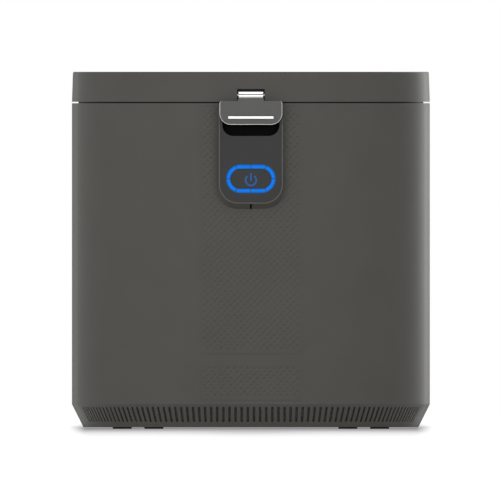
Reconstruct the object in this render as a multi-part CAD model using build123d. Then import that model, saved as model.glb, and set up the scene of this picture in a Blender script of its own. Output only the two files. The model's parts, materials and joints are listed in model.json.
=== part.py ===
from build123d import *
import math
import os

# An electric food waste composter: a rounded countertop housing with a hinged lid, a latch, a lit
# power key, a removable waste bucket with a driven agitator, and a filter drawer at the rear.
# Frame: millimetres, +Z up, +X to the right seen from the front, front at -Y.
# Origin: middle of the overall box, on the surface the feet stand on.

# ---- Driving dimensions: housing -------------------------------------------------------------
WIDTH = 358.0              # at the rear corners, the widest place
FRONT_RADIUS = 140.0       # plan radius of the two front corners
REAR_RADIUS = 40.0         # plan radius of the two rear corners
SIDE_SPREAD = 2.4          # degrees, each side wall spreads towards the rear
WALL = 2.5                 # moulded walls of the housing, lid and base
FOOT_PROUD = 1.6           # feet below the base pan
SKIRT_HEIGHT = 23.0        # drafted base skirt
SKIRT_INSET = 11.5         # how far the skirt draws in at the bottom
SHELL_HEIGHT = 301.0
LID_GAP = 1.4
LID_HEIGHT = 30.0
LID_DRAFT = 1.0            # how far each lid wall draws in at the top
LID_EDGE = 1.0             # chamfer round the top of the lid

# ---- Clearances ------------------------------------------------------------------------------
RUN = 0.05                 # radial, a shaft in its hole
FIT = 0.1                  # pieces that seat in each other
PLAY = 0.6                 # a moving panel in its opening
ROOM = 1.2                 # space round what swings
OVER = 1.0                 # how far a cutter runs past what it cuts

# ---- Driving dimensions: base ----------------------------------------------------------------
SLOT_COUNT = 72
SLOT_PITCH = 6.12          # along the outline at the top of the slots
SLOT_WIDTH = 2.6
SLOT_HEIGHT = 15.2
SLOT_RISE = 1.3            # slots above the middle of the skirt
LEDGE = 8.0                # flange of the skirt over the base pan
LOCATING_LIP = 6.0         # lip of the skirt inside the shell
FOOT_RADIUS = 9.5
FOOT_STEM = 3.0
FOOT_STEM_PROUD = 1.0      # stem above the base pan
FRONT_FOOT_X = 97.0
FRONT_FOOT_Y = 49.0        # behind the front face
REAR_FOOT_X = 128.7
REAR_FOOT_Y = 39.0         # ahead of the rear face
POST_RADIUS = 7.0
POST_SPIGOT = 3.5
FRONT_POST_INSET = 33.5    # from the housing's face, along the corner's radius
FRONT_POST_ANGLE = 68.0
REAR_POST_INSET = 30.0
REAR_POST_ANGLE = 45.0
PAN_BOSS = 5.0             # thickness of the base pan at a screw
SCREW_RADIUS = 2.0
SCREW_HEAD_RADIUS = 4.0
SCREW_HEAD = 2.4
BASE_SCREW_LENGTH = 20.0
SCREW_SPARE = 1.0          # hole beyond the end of its screw

# ---- Driving dimensions: deck, well and bucket -----------------------------------------------
RIM_WIDTH = 2.5            # raised rim of the deck inside the shell's edge
DECK_DROP = 2.3            # deck surface below the rim
STEP_SETBACK = 1.5         # step of the lid liner inside the deck's rim
STEP_DEPTH = 2.5           # step of the lid liner below the lid's edge
BUCKET_RADIUS = 95.0       # inside
BUCKET_WALL = 1.5
BUCKET_GAP = 3.5           # bucket to well
BUCKET_DROP = 12.3         # rim of the bucket below the deck
BUCKET_FLOOR = 2.0
BUCKET_FOOT = 3.0          # height of the foot ring
FOOT_RING_INSET = 22.0     # foot ring inside the bucket's wall
FOOT_RING_WIDTH = 3.0
RIM_ROLL = 2.0             # rolled rim beyond the bucket's wall
RIM_ROLL_HEIGHT = 3.0
WELL_WALL = 1.5
WELL_FLANGE = 3.0
WELL_FLOOR_Z = 100.0       # top of the well's floor
WELL_HOLE = 20.0
HEATER_THICKNESS = 2.0
HEATER_LOW = 10.0          # above the well's floor
HEATER_HEIGHT = 80.0
INSULATION = 6.5
INSULATION_DROP = 30.8     # top of the insulation below the centre of the vent
WELL_FRONT_GAP = 5.4       # insulation to the inside of the front wall
WELL_REAR_GAP = 10.1       # insulation to the front wall of the filter bay
THERMOSTAT_RADIUS = 8.0
THERMOSTAT_HEIGHT = 7.0
THERMOSTAT_X = -60.0

# ---- Driving dimensions: drive ---------------------------------------------------------------
PRESSURE_ANGLE = 25.0
PINION_TEETH = 12
WHEEL_TEETH = 48
FIRST_WHEEL_RADIUS = 30.0  # pitch radius, countershaft wheel
OUTPUT_GEAR_RADIUS = 42.0  # pitch radius, output gear
BACKLASH = 0.16
CENTRE_SLACK = 0.05        # added to each centre distance
FLANK_STEPS = 3            # straight runs in each tooth's flank
GEARBOX_Z = 58.0
GEARBOX_HEIGHT = 27.0
GEARBOX_FLOOR = 3.0
GEARBOX_COVER = 3.0
GEARBOX_CORNER = 14.0
GEAR_SPACE = 3.0
GEARBOX_BOSS = 5.0         # radius of the screw bosses
GEARBOX_BOSS_INSET = 0.8   # bosses inside the gearbox walls
OUTPUT_FACE = 10.0
FIRST_FACE = 6.0
FIRST_GEAR_RISE = 2.0      # first pair above the output gear
PINION_LAP = 1.0           # pinions longer than the wheel they drive
HUB_WALL = 4.0
HUB_THRUST_GAP = 0.3
SHAFT_END = 0.5            # shafts short of the gearbox faces
OUTPUT_SHAFT_RADIUS = 7.0
COUNTERSHAFT_RADIUS = 3.0
MOTOR_SHAFT_RADIUS = 3.0
MOTOR_RADIUS = 31.0
MOTOR_LENGTH = 50.0
MOTOR_SHAFT_DEPTH = 18.0   # pinion's shaft inside the motor
MOTOR_BORE_DEPTH = 20.0
MOTOR_HOLE_GAP = 1.0
BEARING_WALL = 5.0
BEARING_LENGTH = 5.0
COUPLING_RADIUS = 14.0
COUPLING_BASE = 4.8
COUPLING_GAP = 0.5
COUPLING_CAP = 1.5         # drive coupling over the end of the output shaft
COUPLING_RISE = 2.5        # drive coupling above the gearbox
COUPLING_CLEAR = 0.4       # bucket coupling below the bucket
TONGUE_WIDTH = 6.0
TONGUE_HEIGHT = 4.0
TONGUE_INSET = 1.0
TONGUE_PLAY = 0.2
GEARBOX_SCREW_LENGTH = 42.0
LEG_RADIUS = 7.0

# ---- Driving dimensions: agitator ------------------------------------------------------------
AGITATOR_SHAFT = 6.0
HUB_RADIUS = 14.0
COLUMN_RADIUS = 9.0
COLUMN_RISE = 3.0          # column above the top arm
HUB_DROP = 1.0             # hub below the lowest arm
ARM_GAP = 7.0              # arm's tip to the bucket's wall
ARM_WIDTH = 10.0
ARM_HEIGHT = 9.0
ARM_LEVELS = 3
ARM_STEP = 28.0            # height from one level to the next
ARM_TURN = 60.0            # turn from one level to the next
BAR_HEIGHT = 8.0
BAR_WIDTH = 7.0
BAR_START = 30.0           # inner end of a shear bar from the axis
BUSH_WALL = 4.0
BUSH_FLANGE = 2.0
BUSH_FLANGE_WIDTH = 3.0
HUB_GAP = 1.5              # lowest arm above the bush

# ---- Driving dimensions: bucket bail ---------------------------------------------------------
EAR_WIDTH = 14.0
EAR_THICKNESS = 1.5
EAR_RISE = 10.0            # top of the ears above the bucket's rim
EAR_SETBACK = 2.0          # ears inside the bucket's outer face
EAR_FOOT = 0.5
BAIL_PIVOT_RISE = 5.4      # pivot above the bucket's rim
BAIL_THICKNESS = 4.0
BAIL_WIDTH = 4.6
BAIL_EYE = 4.6
BAIL_PIN = 2.0
BAIL_GAP = 0.3             # bail inside the ears

# ---- Driving dimensions: lid and hinge -------------------------------------------------------
HINGE_INSET = 6.4          # from the rear face
HINGE_RISE = 20.0          # above the lid's lower edge
TOWER_RADIUS = 5.2
TOWER_WIDTH = 24.0
TOWER_X = 90.0
TOWER_CLEAR = 0.3          # tower's overhang above the shell's edge
LUG_WIDTH = 6.0
LUG_RADIUS = 6.0
HINGE_PIN = 2.0
SEAL_GAP = 1.0             # seal outside the well's flange
SEAL_WIDTH = 4.5
SEAL_GROOVE = 1.0
LINER_GAP = 0.3            # lid liner inside the lid's wall
SHIELD_LAP = 1.0           # heat shield beyond the bucket's opening
SHIELD_THICKNESS = 1.5

# ---- Driving dimensions: control pod ---------------------------------------------------------
POD_PROUD = 10.0
POD_HALF = 32.8            # half width where it meets the housing
POD_HEIGHT = 106.0
POD_SIDE_DRAFT = 1.0
POD_CHIN = 5.7             # how far the underside draws up towards the front
POD_RADIUS = 20.0
POD_RIM = 1.0              # rim round the face panel
POD_CHEEK = 2.2            # ledge behind the face panel
POD_BACK = 2.0             # wall behind the finger recess
FACE_SET = 0.6             # face panel below the pod's rim
FACE_THICKNESS = 1.6
RECESS_HEIGHT = 32.8       # finger recess below the pod's top
RECESS_RADIUS = 11.0
SHELF = 2.4                # wall under the finger recess
CHIN_SLOT_WIDTH = 2.0
CHIN_SLOT_HEIGHT = 5.0
POD_SCREW_X = 22.0
POD_SCREW_DEPTH = 5.5
POD_BOSS_LAP = 1.0         # screw bosses into the shelf above them

# ---- Driving dimensions: key and light ring --------------------------------------------------
KEY_DROP = 75.6            # centre of the key below the pod's top
RING_HALF_LENGTH = 24.8
RING_RADIUS = 14.25
RING_BAND = 4.3
RING_CUT = 0.8             # web between two segments
RING_CUT_TURN = 20.0
RING_EDGE = 0.4            # edge of the face panel inside the lit ring
KEY_GAP = 0.25
KEY_THICKNESS = 1.7
KEY_FLANGE = 1.4
KEY_FLANGE_THICKNESS = 0.8
KEY_STEM = 2.5
KEY_TRAVEL = 0.8
SYMBOL_RADIUS = 6.1
SYMBOL_STROKE = 1.6
SYMBOL_DEPTH = 0.5
SYMBOL_BAR_TOP = 7.2
SYMBOL_DROP = 1.3          # centre of the symbol below the centre of the key
SYMBOL_BAR_LENGTH = 8.0
SYMBOL_OPENING = 80.0      # degrees left open at the top of the symbol
BOARD_THICKNESS = 1.6
CONTROL_BOARD_HALF = 23.0
CONTROL_BOARD_HEIGHT = 34.0
CONTROL_BOARD_GAP = 0.4    # board to the housing behind it
SWITCH_SIZE = 6.0
SWITCH_HEIGHT = 3.0

# ---- Driving dimensions: latch ---------------------------------------------------------------
LATCH_PROUD = 14.0         # front of the latch ahead of the housing's face
KNUCKLE_RADIUS = 3.55
KNUCKLE_LENGTH = 24.8
KNUCKLE_WALL = 0.8
KNUCKLE_END = 3.0          # solid end of the knuckle that runs on the pin
KNUCKLE_SETBACK = 1.0      # knuckle behind the lid's face
KNUCKLE_RISE = 6.6         # axis above the lid's lower edge
LATCH_SLOT = 27.5          # width of the slot in the lid
LATCH_SLOT_HEIGHT = 12.8
LATCH_PIN = 1.5
CRADLE_HALF = 2.0          # neck under the knuckle, each way from its axis
CRADLE_LIP = 1.0
CRADLE_GAP = 0.02
NECK_WIDTH = 26.0
NECK_THICKNESS = 2.5
PLATE_WIDTH = 62.5
PLATE_HEIGHT = 23.7
PLATE_THICKNESS = 2.8
PLATE_RISE = 0.9           # top of the plate above the lid's lower edge
PLATE_RADIUS = 11.0
PLATE_TOP_RADIUS = 2.5
PLATE_CLEAR = 0.4          # plate ahead of the pod's rim
RIB_LENGTH = 45.0
RIB_HEIGHT = 2.6
RIB_DROP = 16.6            # rib below the top of the plate
HOOK_WIDTH = 12.0
HOOK_THICKNESS = 3.5
HOOK_DROP = 13.0           # hook below the top of the plate
HOOK_GAP = 1.0             # hook's nose to the catch
NOSE_LENGTH = 2.0
NOSE_HEIGHT = 2.5
CATCH_WIDTH = 16.0
CATCH_THICKNESS = 0.8
CATCH_HEIGHT = 26.0
CATCH_DROP = 1.0           # top of the catch below the shell's edge
CATCH_GAP = 0.4            # catch above the hook's nose
CATCH_RAMP = 4.0
BITE = 1.6                 # how far the catch overhangs the hook's nose
CHEEK = 4.0
SPRING_WIRE = 0.35
SPRING_TURNS = 6
SPRING_END = 2.0           # spring short of the knuckle's solid ends

# ---- Driving dimensions: air path and services -----------------------------------------------
VENT_WIDTH = 32.0
VENT_HEIGHT = 16.0
VENT_DROP = 25.0           # centre of the vent below the deck
DUCT_WALL = 2.0
FILTER_WIDTH = 134.0
FILTER_HEIGHT = 114.0
FILTER_DEPTH = 44.0
FILTER_DROP = 12.8         # top of the filter drawer below the deck
FILTER_WALL = 1.5
CARBON_GAP = 0.3
CASE_SLOT = 3.0
CASE_SLOT_PITCH = 5.0
CASE_SLOT_ROWS = 5
CASE_SLOT_DROP = 18.0      # first slot below the top of the case
CASE_SLOT_MARGIN = 12.0
OUTLET_WIDTH = 60.0        # air outlet under the filter
OUTLET_LENGTH = 16.0
OUTLET_INSET = 6.0         # behind the front of the bay
OUTLET_SLOT_INSET = 1.6    # first slot of the case behind the outlet's front
OUTLET_SLOT_ROWS = 3
DOOR_THICKNESS = 3.0
PULL_WIDTH = 60.0
PULL_HEIGHT = 18.0
PULL_DEPTH = 9.0
PULL_DROP = 12.0           # below the top of the door
FAN_SIZE = 70.0
FAN_DEPTH = 20.0
FAN_DROP = 16.4            # fan's frame below the filter bay
FAN_BORE = 33.0
FAN_TIP_GAP = 1.5
FAN_HUB = 12.0
FAN_BLADES = 7
FAN_PIN = 1.5
FAN_STRUT = 3.0
FAN_HUB_GAP = 0.5          # impeller to the struts
FAN_HUB_SETBACK = 1.5      # impeller behind the front of the frame
FAN_PIN_START = 3.0        # pin behind the front of the frame
BLADE_TURN = 35.0
BLADE_THICKNESS = 1.4
BLADE_CHORD = 14.0
BLADE_ROOT = 2.0           # blade's root inside the hub
DUCT_SETBACK = 3.0         # fan duct behind the front of the bay
GRILLE_SIZE = 76.0
GRILLE_SLOT = 3.2
GRILLE_PITCH = 6.4
GRILLE_MARGIN = 6.0
POWER_BOARD_X = -95.0
POWER_BOARD_WIDTH = 74.0
POWER_BOARD_LENGTH = 70.0
POWER_BOARD_SETBACK = 48.5 # ahead of the rear wall
STANDOFF = 12.0
STANDOFF_RADIUS = 3.5
STANDOFF_INSET = 8.0
TRANSFORMER_X = 17.0       # places on the board are from its front left corner
TRANSFORMER_Y = 26.0
TRANSFORMER_WIDTH = 34.0
TRANSFORMER_LENGTH = 30.0
TRANSFORMER_HEIGHT = 28.0
RELAY_Y = 6.0
RELAY_WIDTH = 16.0
RELAY_LENGTH = 14.0
RELAY_HEIGHT = 16.0
CAPACITOR_RADIUS = 5.5
CAPACITOR_HEIGHT = 20.0
CAPACITOR_COUNT = 3
CAPACITOR_X = 61.0
CAPACITOR_PITCH = 14.0
INLET_X = 110.0
INLET_Z = 60.0
INLET_WIDTH = 24.0
INLET_HEIGHT = 16.5
INLET_DEPTH = 18.0
INLET_FLANGE = 4.0
PIN_PITCH = 7.0            # contact pins of the inlet
PIN_WIDTH = 2.0
PIN_HEIGHT = 4.0
PIN_TAIL = 6.0
PIN_SETBACK = 2.0
PIN_DROP = 1.0             # outer pins below the inlet's middle
EARTH_RISE = 3.0           # middle pin above it
SENSOR_X = 120.0           # lid switch and its magnet
SENSOR_INSET = 60.0        # ahead of the rear face
SENSOR_WIDTH = 16.0
SENSOR_DEPTH = 6.0
SENSOR_HEIGHT = 5.0

# ---- Places worked out from them -------------------------------------------------------------
BUCKET_OUTSIDE = BUCKET_RADIUS + BUCKET_WALL
WELL_RADIUS = BUCKET_OUTSIDE + BUCKET_GAP
WELL_OUTSIDE = WELL_RADIUS + WELL_WALL
FLANGE_RADIUS = WELL_OUTSIDE + WELL_FLANGE
HEATER_RADIUS = WELL_OUTSIDE + FIT
INSULATION_IN = HEATER_RADIUS + HEATER_THICKNESS + FIT
INSULATION_OUT = INSULATION_IN + INSULATION

FRONT_ROOM = WALL + WELL_FRONT_GAP
REAR_ROOM = WELL_REAR_GAP + DUCT_WALL + PLAY + FILTER_DEPTH + DOOR_THICKNESS
DEPTH = FRONT_ROOM + 2 * INSULATION_OUT + REAR_ROOM
FRONT_Y = (LATCH_PROUD - DEPTH) / 2
REAR_Y = FRONT_Y + DEPTH
PAN_Z = FOOT_PROUD
PAN_TOP = PAN_Z + WALL
SHELL_Z = FOOT_PROUD + SKIRT_HEIGHT
SHELL_TOP = SHELL_Z + SHELL_HEIGHT
LID_Z = SHELL_TOP + LID_GAP
LID_TOP = LID_Z + LID_HEIGHT
INSIDE_FRONT = FRONT_Y + WALL
INSIDE_REAR = REAR_Y - WALL
DECK_TOP = SHELL_TOP - DECK_DROP
DECK_Z = DECK_TOP - WALL
STEP_INSET = WALL + RIM_WIDTH + STEP_SETBACK
STEP_Z = LID_Z - STEP_DEPTH

WELL_Y = FRONT_Y + FRONT_ROOM + INSULATION_OUT
WELL = (0.0, WELL_Y)
BUCKET_Z = WELL_FLOOR_Z + BUCKET_FOOT
BUCKET_TOP = DECK_TOP - BUCKET_DROP
FOOT_RING_RADIUS = BUCKET_RADIUS - FOOT_RING_INSET
ARM_REACH = BUCKET_RADIUS - ARM_GAP
SHIELD_RADIUS = BUCKET_RADIUS + SHIELD_LAP
EAR_IN = BUCKET_OUTSIDE - EAR_THICKNESS - EAR_SETBACK
BUCKET_FLOOR_TOP = BUCKET_Z + BUCKET_FLOOR
BAIL_PIVOT_Z = BUCKET_TOP + BAIL_PIVOT_RISE

HINGE_Y = REAR_Y - HINGE_INSET
HINGE_Z = LID_Z + HINGE_RISE
KNUCKLE_Y = FRONT_Y + KNUCKLE_SETBACK + KNUCKLE_RADIUS
KNUCKLE_Z = LID_Z + KNUCKLE_RISE
POD_Z = SHELL_TOP - POD_HEIGHT
POD_FRONT = FRONT_Y - POD_PROUD
FACE_FRONT = POD_FRONT + FACE_SET
FACE_BACK = FACE_FRONT + FACE_THICKNESS
POD_FRONT_RADIUS = POD_RADIUS - POD_SIDE_DRAFT
FACE_RADIUS = POD_FRONT_RADIUS - POD_RIM
RECESS_Z = SHELL_TOP - RECESS_HEIGHT
RECESS_HALF = POD_HALF - POD_SIDE_DRAFT - POD_RIM - POD_CHEEK
RECESS_BACK = FRONT_Y - POD_BACK
KEY_Z = SHELL_TOP - KEY_DROP
PLATE_BACK = POD_FRONT - PLATE_CLEAR
PLATE_FRONT = PLATE_BACK - PLATE_THICKNESS
PLATE_TOP = LID_Z + PLATE_RISE
LATCH_FRONT = FRONT_Y - LATCH_PROUD

GEARBOX_TOP = GEARBOX_Z + GEARBOX_HEIGHT
COVER_TOP = GEARBOX_TOP + GEARBOX_COVER
FIRST_MODULE = 2 * FIRST_WHEEL_RADIUS / WHEEL_TEETH
SECOND_MODULE = 2 * OUTPUT_GEAR_RADIUS / WHEEL_TEETH
SECOND_CENTRE = SECOND_MODULE * (PINION_TEETH + WHEEL_TEETH) / 2 + CENTRE_SLACK
FIRST_CENTRE = FIRST_MODULE * (PINION_TEETH + WHEEL_TEETH) / 2 + CENTRE_SLACK
COUNTERSHAFT = (SECOND_CENTRE, WELL_Y)
MOTOR = (SECOND_CENTRE + FIRST_CENTRE, WELL_Y)
OUTPUT_GEAR_Z = GEARBOX_Z + GEARBOX_FLOOR + GEAR_SPACE
FIRST_GEAR_Z = OUTPUT_GEAR_Z + OUTPUT_FACE + FIRST_GEAR_RISE
OUTPUT_TIP = SECOND_MODULE * (WHEEL_TEETH / 2 + 1)
FIRST_TIP = FIRST_MODULE * (PINION_TEETH / 2 + 1)
DRIVE_COUPLING_Z = COVER_TOP + COUPLING_RISE
TONGUE_Z = DRIVE_COUPLING_Z + COUPLING_BASE
BUCKET_COUPLING_Z = TONGUE_Z + COUPLING_GAP

CASE_FRONT = REAR_Y - DOOR_THICKNESS - FILTER_DEPTH
BAY_HALF = FILTER_WIDTH / 2 + PLAY
BAY_FRONT = CASE_FRONT - PLAY
FILTER_Z = DECK_Z - FILTER_DROP - FILTER_HEIGHT
BAY_LOW = FILTER_Z - PLAY
BAY_HIGH = FILTER_Z + FILTER_HEIGHT + PLAY
VENT_Z = DECK_Z - VENT_DROP
INSULATION_TOP = VENT_Z - INSULATION_DROP
FAN_Z = BAY_LOW - DUCT_WALL - FAN_DROP - FAN_SIZE / 2
POWER_BOARD_FRONT = INSIDE_REAR - POWER_BOARD_SETBACK - POWER_BOARD_LENGTH
FAN_FRONT = INSIDE_REAR - FAN_DEPTH
SENSOR_Y = REAR_Y - SENSOR_INSET
SENSOR_SPAN_X = (SENSOR_X - SENSOR_WIDTH / 2, SENSOR_X + SENSOR_WIDTH / 2)
SENSOR_SPAN_Y = (SENSOR_Y - SENSOR_DEPTH / 2, SENSOR_Y + SENSOR_DEPTH / 2)
POD_SCREW_Z = RECESS_Z - SHELF - SCREW_HEAD_RADIUS + POD_BOSS_LAP
ARM_Z = BUCKET_FLOOR_TOP + BUSH_FLANGE + HUB_GAP
BRACKET_BACK = KNUCKLE_Y + KNUCKLE_RADIUS + PLAY + WALL
HOOK_Z = PLATE_TOP - HOOK_DROP


# ---- Small shapes ----------------------------------------------------------------------------
def disc(radius, low, high, at=(0.0, 0.0)):
    """A round bar that stands on the plane z = low."""
    bar = Cylinder(radius, high - low, align=(Align.CENTER, Align.CENTER, Align.MIN))
    return Pos(at[0], at[1], low) * bar


def ring(outer, inner, low, high, at=(0.0, 0.0)):
    return disc(outer, low, high, at) - disc(inner, low, high, at)


def block(x, y, z):
    """A box between two values on each axis."""
    size = (x[1] - x[0], y[1] - y[0], z[1] - z[0])
    return Pos(x[0], y[0], z[0]) * Box(*size, align=(Align.MIN, Align.MIN, Align.MIN))


def rod_x(radius, x, y, z):
    """A round bar along X between two values."""
    bar = Cylinder(radius, x[1] - x[0], align=(Align.CENTER, Align.CENTER, Align.MIN))
    return Pos(x[0], y, z) * Rot(0, 90, 0) * bar


def rod_y(radius, x, y, z):
    """A round bar along Y between two values."""
    bar = Cylinder(radius, y[1] - y[0], align=(Align.CENTER, Align.CENTER, Align.MIN))
    return Pos(x, y[0], z) * Rot(-90, 0, 0) * bar


def front_plane(y):
    """A plane that faces the front, with x to the right and its second axis up."""
    return Plane(origin=(0, y, 0), x_dir=(1, 0, 0), z_dir=(0, -1, 0))


def slab(face, y):
    """A flat drawing in x and z, given depth between two values of y."""
    return extrude(front_plane(y[1]) * face, amount=y[1] - y[0])


def group(*shapes):
    """Separate solids that share a node."""
    return Compound(children=list(shapes))


def at_each(points, make):
    return group(*[make(point) for point in points])


# ---- Plan of the housing ---------------------------------------------------------------------
CORNER_Y = FRONT_Y + FRONT_RADIUS
REAR_CORNER_X = WIDTH / 2 - REAR_RADIUS
REAR_CORNER_Y = REAR_Y - REAR_RADIUS
SPREAD_COS = math.cos(math.radians(SIDE_SPREAD))
SPREAD_SIN = math.sin(math.radians(SIDE_SPREAD))
SIDE_RUN = REAR_CORNER_Y - CORNER_Y
CORNER_X = REAR_CORNER_X - (FRONT_RADIUS - REAR_RADIUS + SIDE_RUN * SPREAD_SIN) / SPREAD_COS


def plan(inset, z):
    """The housing's outline, drawn in by inset on every side: each side wall touches both its arcs."""
    front = FRONT_Y + inset
    rear = REAR_Y - inset
    wide = FRONT_RADIUS - inset
    narrow = REAR_RADIUS - inset
    side_front = (CORNER_X + wide * SPREAD_COS, CORNER_Y - wide * SPREAD_SIN)
    side_rear = (REAR_CORNER_X + narrow * SPREAD_COS, REAR_CORNER_Y - narrow * SPREAD_SIN)
    front_sweep = 90 - SIDE_SPREAD
    rear_sweep = 90 + SIDE_SPREAD
    edges = [
        Line((-CORNER_X, front), (CORNER_X, front)),
        CenterArc((CORNER_X, CORNER_Y), wide, -90, front_sweep),
        Line(side_front, side_rear),
        CenterArc((REAR_CORNER_X, REAR_CORNER_Y), narrow, -SIDE_SPREAD, rear_sweep),
        Line((REAR_CORNER_X, rear), (-REAR_CORNER_X, rear)),
        CenterArc((-REAR_CORNER_X, REAR_CORNER_Y), narrow, 90, rear_sweep),
        Line((-side_rear[0], side_rear[1]), (-side_front[0], side_front[1])),
        CenterArc((-CORNER_X, CORNER_Y), wide, 180 + SIDE_SPREAD, front_sweep),
    ]
    return Pos(0, 0, z) * make_face(edges)


def body(low, high, inset_low, inset_high=None):
    """The housing's outline between two heights, drafted if the insets differ."""
    if inset_high is None or inset_high == inset_low:
        return extrude(plan(inset_low, low), amount=high - low, dir=(0, 0, 1))
    return loft([plan(inset_low, low), plan(inset_high, high)], ruled=True)


def front_corner_point(distance, angle, side):
    """A place at a radius from the centre of a front corner, angle from straight ahead."""
    turn = math.radians(angle)
    x = CORNER_X + distance * math.sin(turn)
    return (side * x, CORNER_Y - distance * math.cos(turn))


def rear_corner_point(distance, angle, side):
    turn = math.radians(angle)
    x = REAR_CORNER_X + distance * math.sin(turn)
    return (side * x, REAR_CORNER_Y + distance * math.cos(turn))


SIDES = (-1, 1)
FRONT_POST = FRONT_RADIUS - FRONT_POST_INSET
REAR_POST = REAR_RADIUS - REAR_POST_INSET
POSTS = [front_corner_point(FRONT_POST, FRONT_POST_ANGLE, side) for side in SIDES]
POSTS += [rear_corner_point(REAR_POST, REAR_POST_ANGLE, side) for side in SIDES]
FEET = [(side * FRONT_FOOT_X, FRONT_Y + FRONT_FOOT_Y) for side in SIDES]
FEET += [(side * REAR_FOOT_X, REAR_Y - REAR_FOOT_Y) for side in SIDES]
GEARBOX_X = (-OUTPUT_TIP - GEAR_SPACE - WALL, MOTOR[0] + FIRST_TIP + GEAR_SPACE + WALL)
GEARBOX_HALF = OUTPUT_TIP + GEAR_SPACE + WALL
BOSS_INSET = WALL + GEARBOX_BOSS + GEARBOX_BOSS_INSET
GEARBOX_SCREWS = [
    (x, WELL_Y + side * (GEARBOX_HALF - BOSS_INSET))
    for x in (GEARBOX_X[0] + BOSS_INSET, GEARBOX_X[1] - BOSS_INSET)
    for side in SIDES
]
BOARD_MIDDLE = POWER_BOARD_FRONT + POWER_BOARD_LENGTH / 2
STANDOFFS = [
    (POWER_BOARD_X + a * (POWER_BOARD_WIDTH / 2 - STANDOFF_INSET),
     BOARD_MIDDLE + b * (POWER_BOARD_LENGTH / 2 - STANDOFF_INSET))
    for a in SIDES
    for b in SIDES
]


# ---- Base ------------------------------------------------------------------------------------
def inset_at(z):
    """How far the outside of the skirt is drawn in at a height."""
    return SKIRT_INSET * (SHELL_Z - z) / SKIRT_HEIGHT


def vent_slots():
    """Round-ended cutters along the front of the skirt, each square to the outline."""
    middle = (PAN_Z + SHELL_Z) / 2 + SLOT_RISE
    inset = inset_at(middle)
    radius = FRONT_RADIUS - inset
    pitch_radius = FRONT_RADIUS - inset_at(middle + SLOT_HEIGHT / 2)
    shape = Rot(0, 0, 90) * SlotOverall(SLOT_HEIGHT, SLOT_WIDTH)
    cutter = extrude(shape, amount=SKIRT_INSET, both=True)
    slots = []
    for index in range(SLOT_COUNT):
        along = (index - (SLOT_COUNT - 1) / 2) * SLOT_PITCH
        past = max(abs(along) - CORNER_X, 0.0)
        turn = math.degrees(past / pitch_radius)
        side = math.copysign(1.0, along)
        if past > 0:
            x, y = front_corner_point(radius, turn, side)
        else:
            x, y = along, FRONT_Y + inset
        place = Plane(origin=(x, y, middle), x_dir=(1, 0, 0), z_dir=(0, -1, 0))
        slots.append(place * Rot(0, side * turn, 0) * cutter)
    return slots


def make_base():
    draft = SKIRT_INSET
    skirt = body(PAN_Z, SHELL_Z, draft, 0) - body(PAN_Z, SHELL_Z, draft + WALL, WALL)
    flange_low = PAN_TOP
    flange_high = PAN_TOP + WALL
    flange_inset = inset_at(flange_low) + WALL
    flange = body(flange_low, flange_high, flange_inset - FIT)
    skirt += flange - body(flange_low, flange_high, flange_inset + LEDGE)
    lip = body(SHELL_Z - WALL, SHELL_Z + LOCATING_LIP, WALL + FIT)
    lip -= body(SHELL_Z - WALL, SHELL_Z + LOCATING_LIP, 2 * WALL + FIT)
    skirt += lip
    skirt -= vent_slots()

    pan = body(PAN_Z, PAN_TOP, draft + WALL + FIT)
    boss_top = PAN_Z + PAN_BOSS
    for point in POSTS:
        pan += disc(POST_RADIUS, PAN_Z, boss_top, point)
    for point in GEARBOX_SCREWS:
        pan += disc(LEG_RADIUS, PAN_Z, GEARBOX_Z, point)
        pan -= disc(SCREW_RADIUS, COVER_TOP - GEARBOX_SCREW_LENGTH, GEARBOX_Z, point)
    for point in STANDOFFS:
        pan += disc(STANDOFF_RADIUS, PAN_Z, PAN_TOP + STANDOFF, point)
    for point in POSTS:
        pan -= disc(SCREW_HEAD_RADIUS + FIT, PAN_Z, PAN_Z + SCREW_HEAD + FIT, point)
        pan -= disc(SCREW_RADIUS + FIT, PAN_Z, boss_top, point)
    for point in FEET:
        pan -= disc(FOOT_STEM + RUN, PAN_Z, PAN_TOP, point)

    feet = at_each(FEET, lambda point: disc(FOOT_RADIUS, 0, FOOT_PROUD, point)
                   + disc(FOOT_STEM, 0, PAN_TOP + FOOT_STEM_PROUD, point))

    hole_top = PAN_Z + BASE_SCREW_LENGTH
    screws = at_each(POSTS, lambda point: disc(SCREW_HEAD_RADIUS, PAN_Z + FIT, PAN_Z + SCREW_HEAD, point)
                     + disc(SCREW_RADIUS, PAN_Z + FIT, hole_top, point))
    posts = at_each(POSTS, lambda point: disc(POST_RADIUS, boss_top, DECK_Z, point)
                    + disc(POST_SPIGOT, DECK_Z, DECK_TOP, point)
                    - disc(SCREW_RADIUS, boss_top, hole_top + SCREW_SPARE, point))
    return {"vent_skirt": skirt, "base_pan": pan, "rubber_feet": feet, "base_screws": screws,
            "corner_posts": posts}


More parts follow.
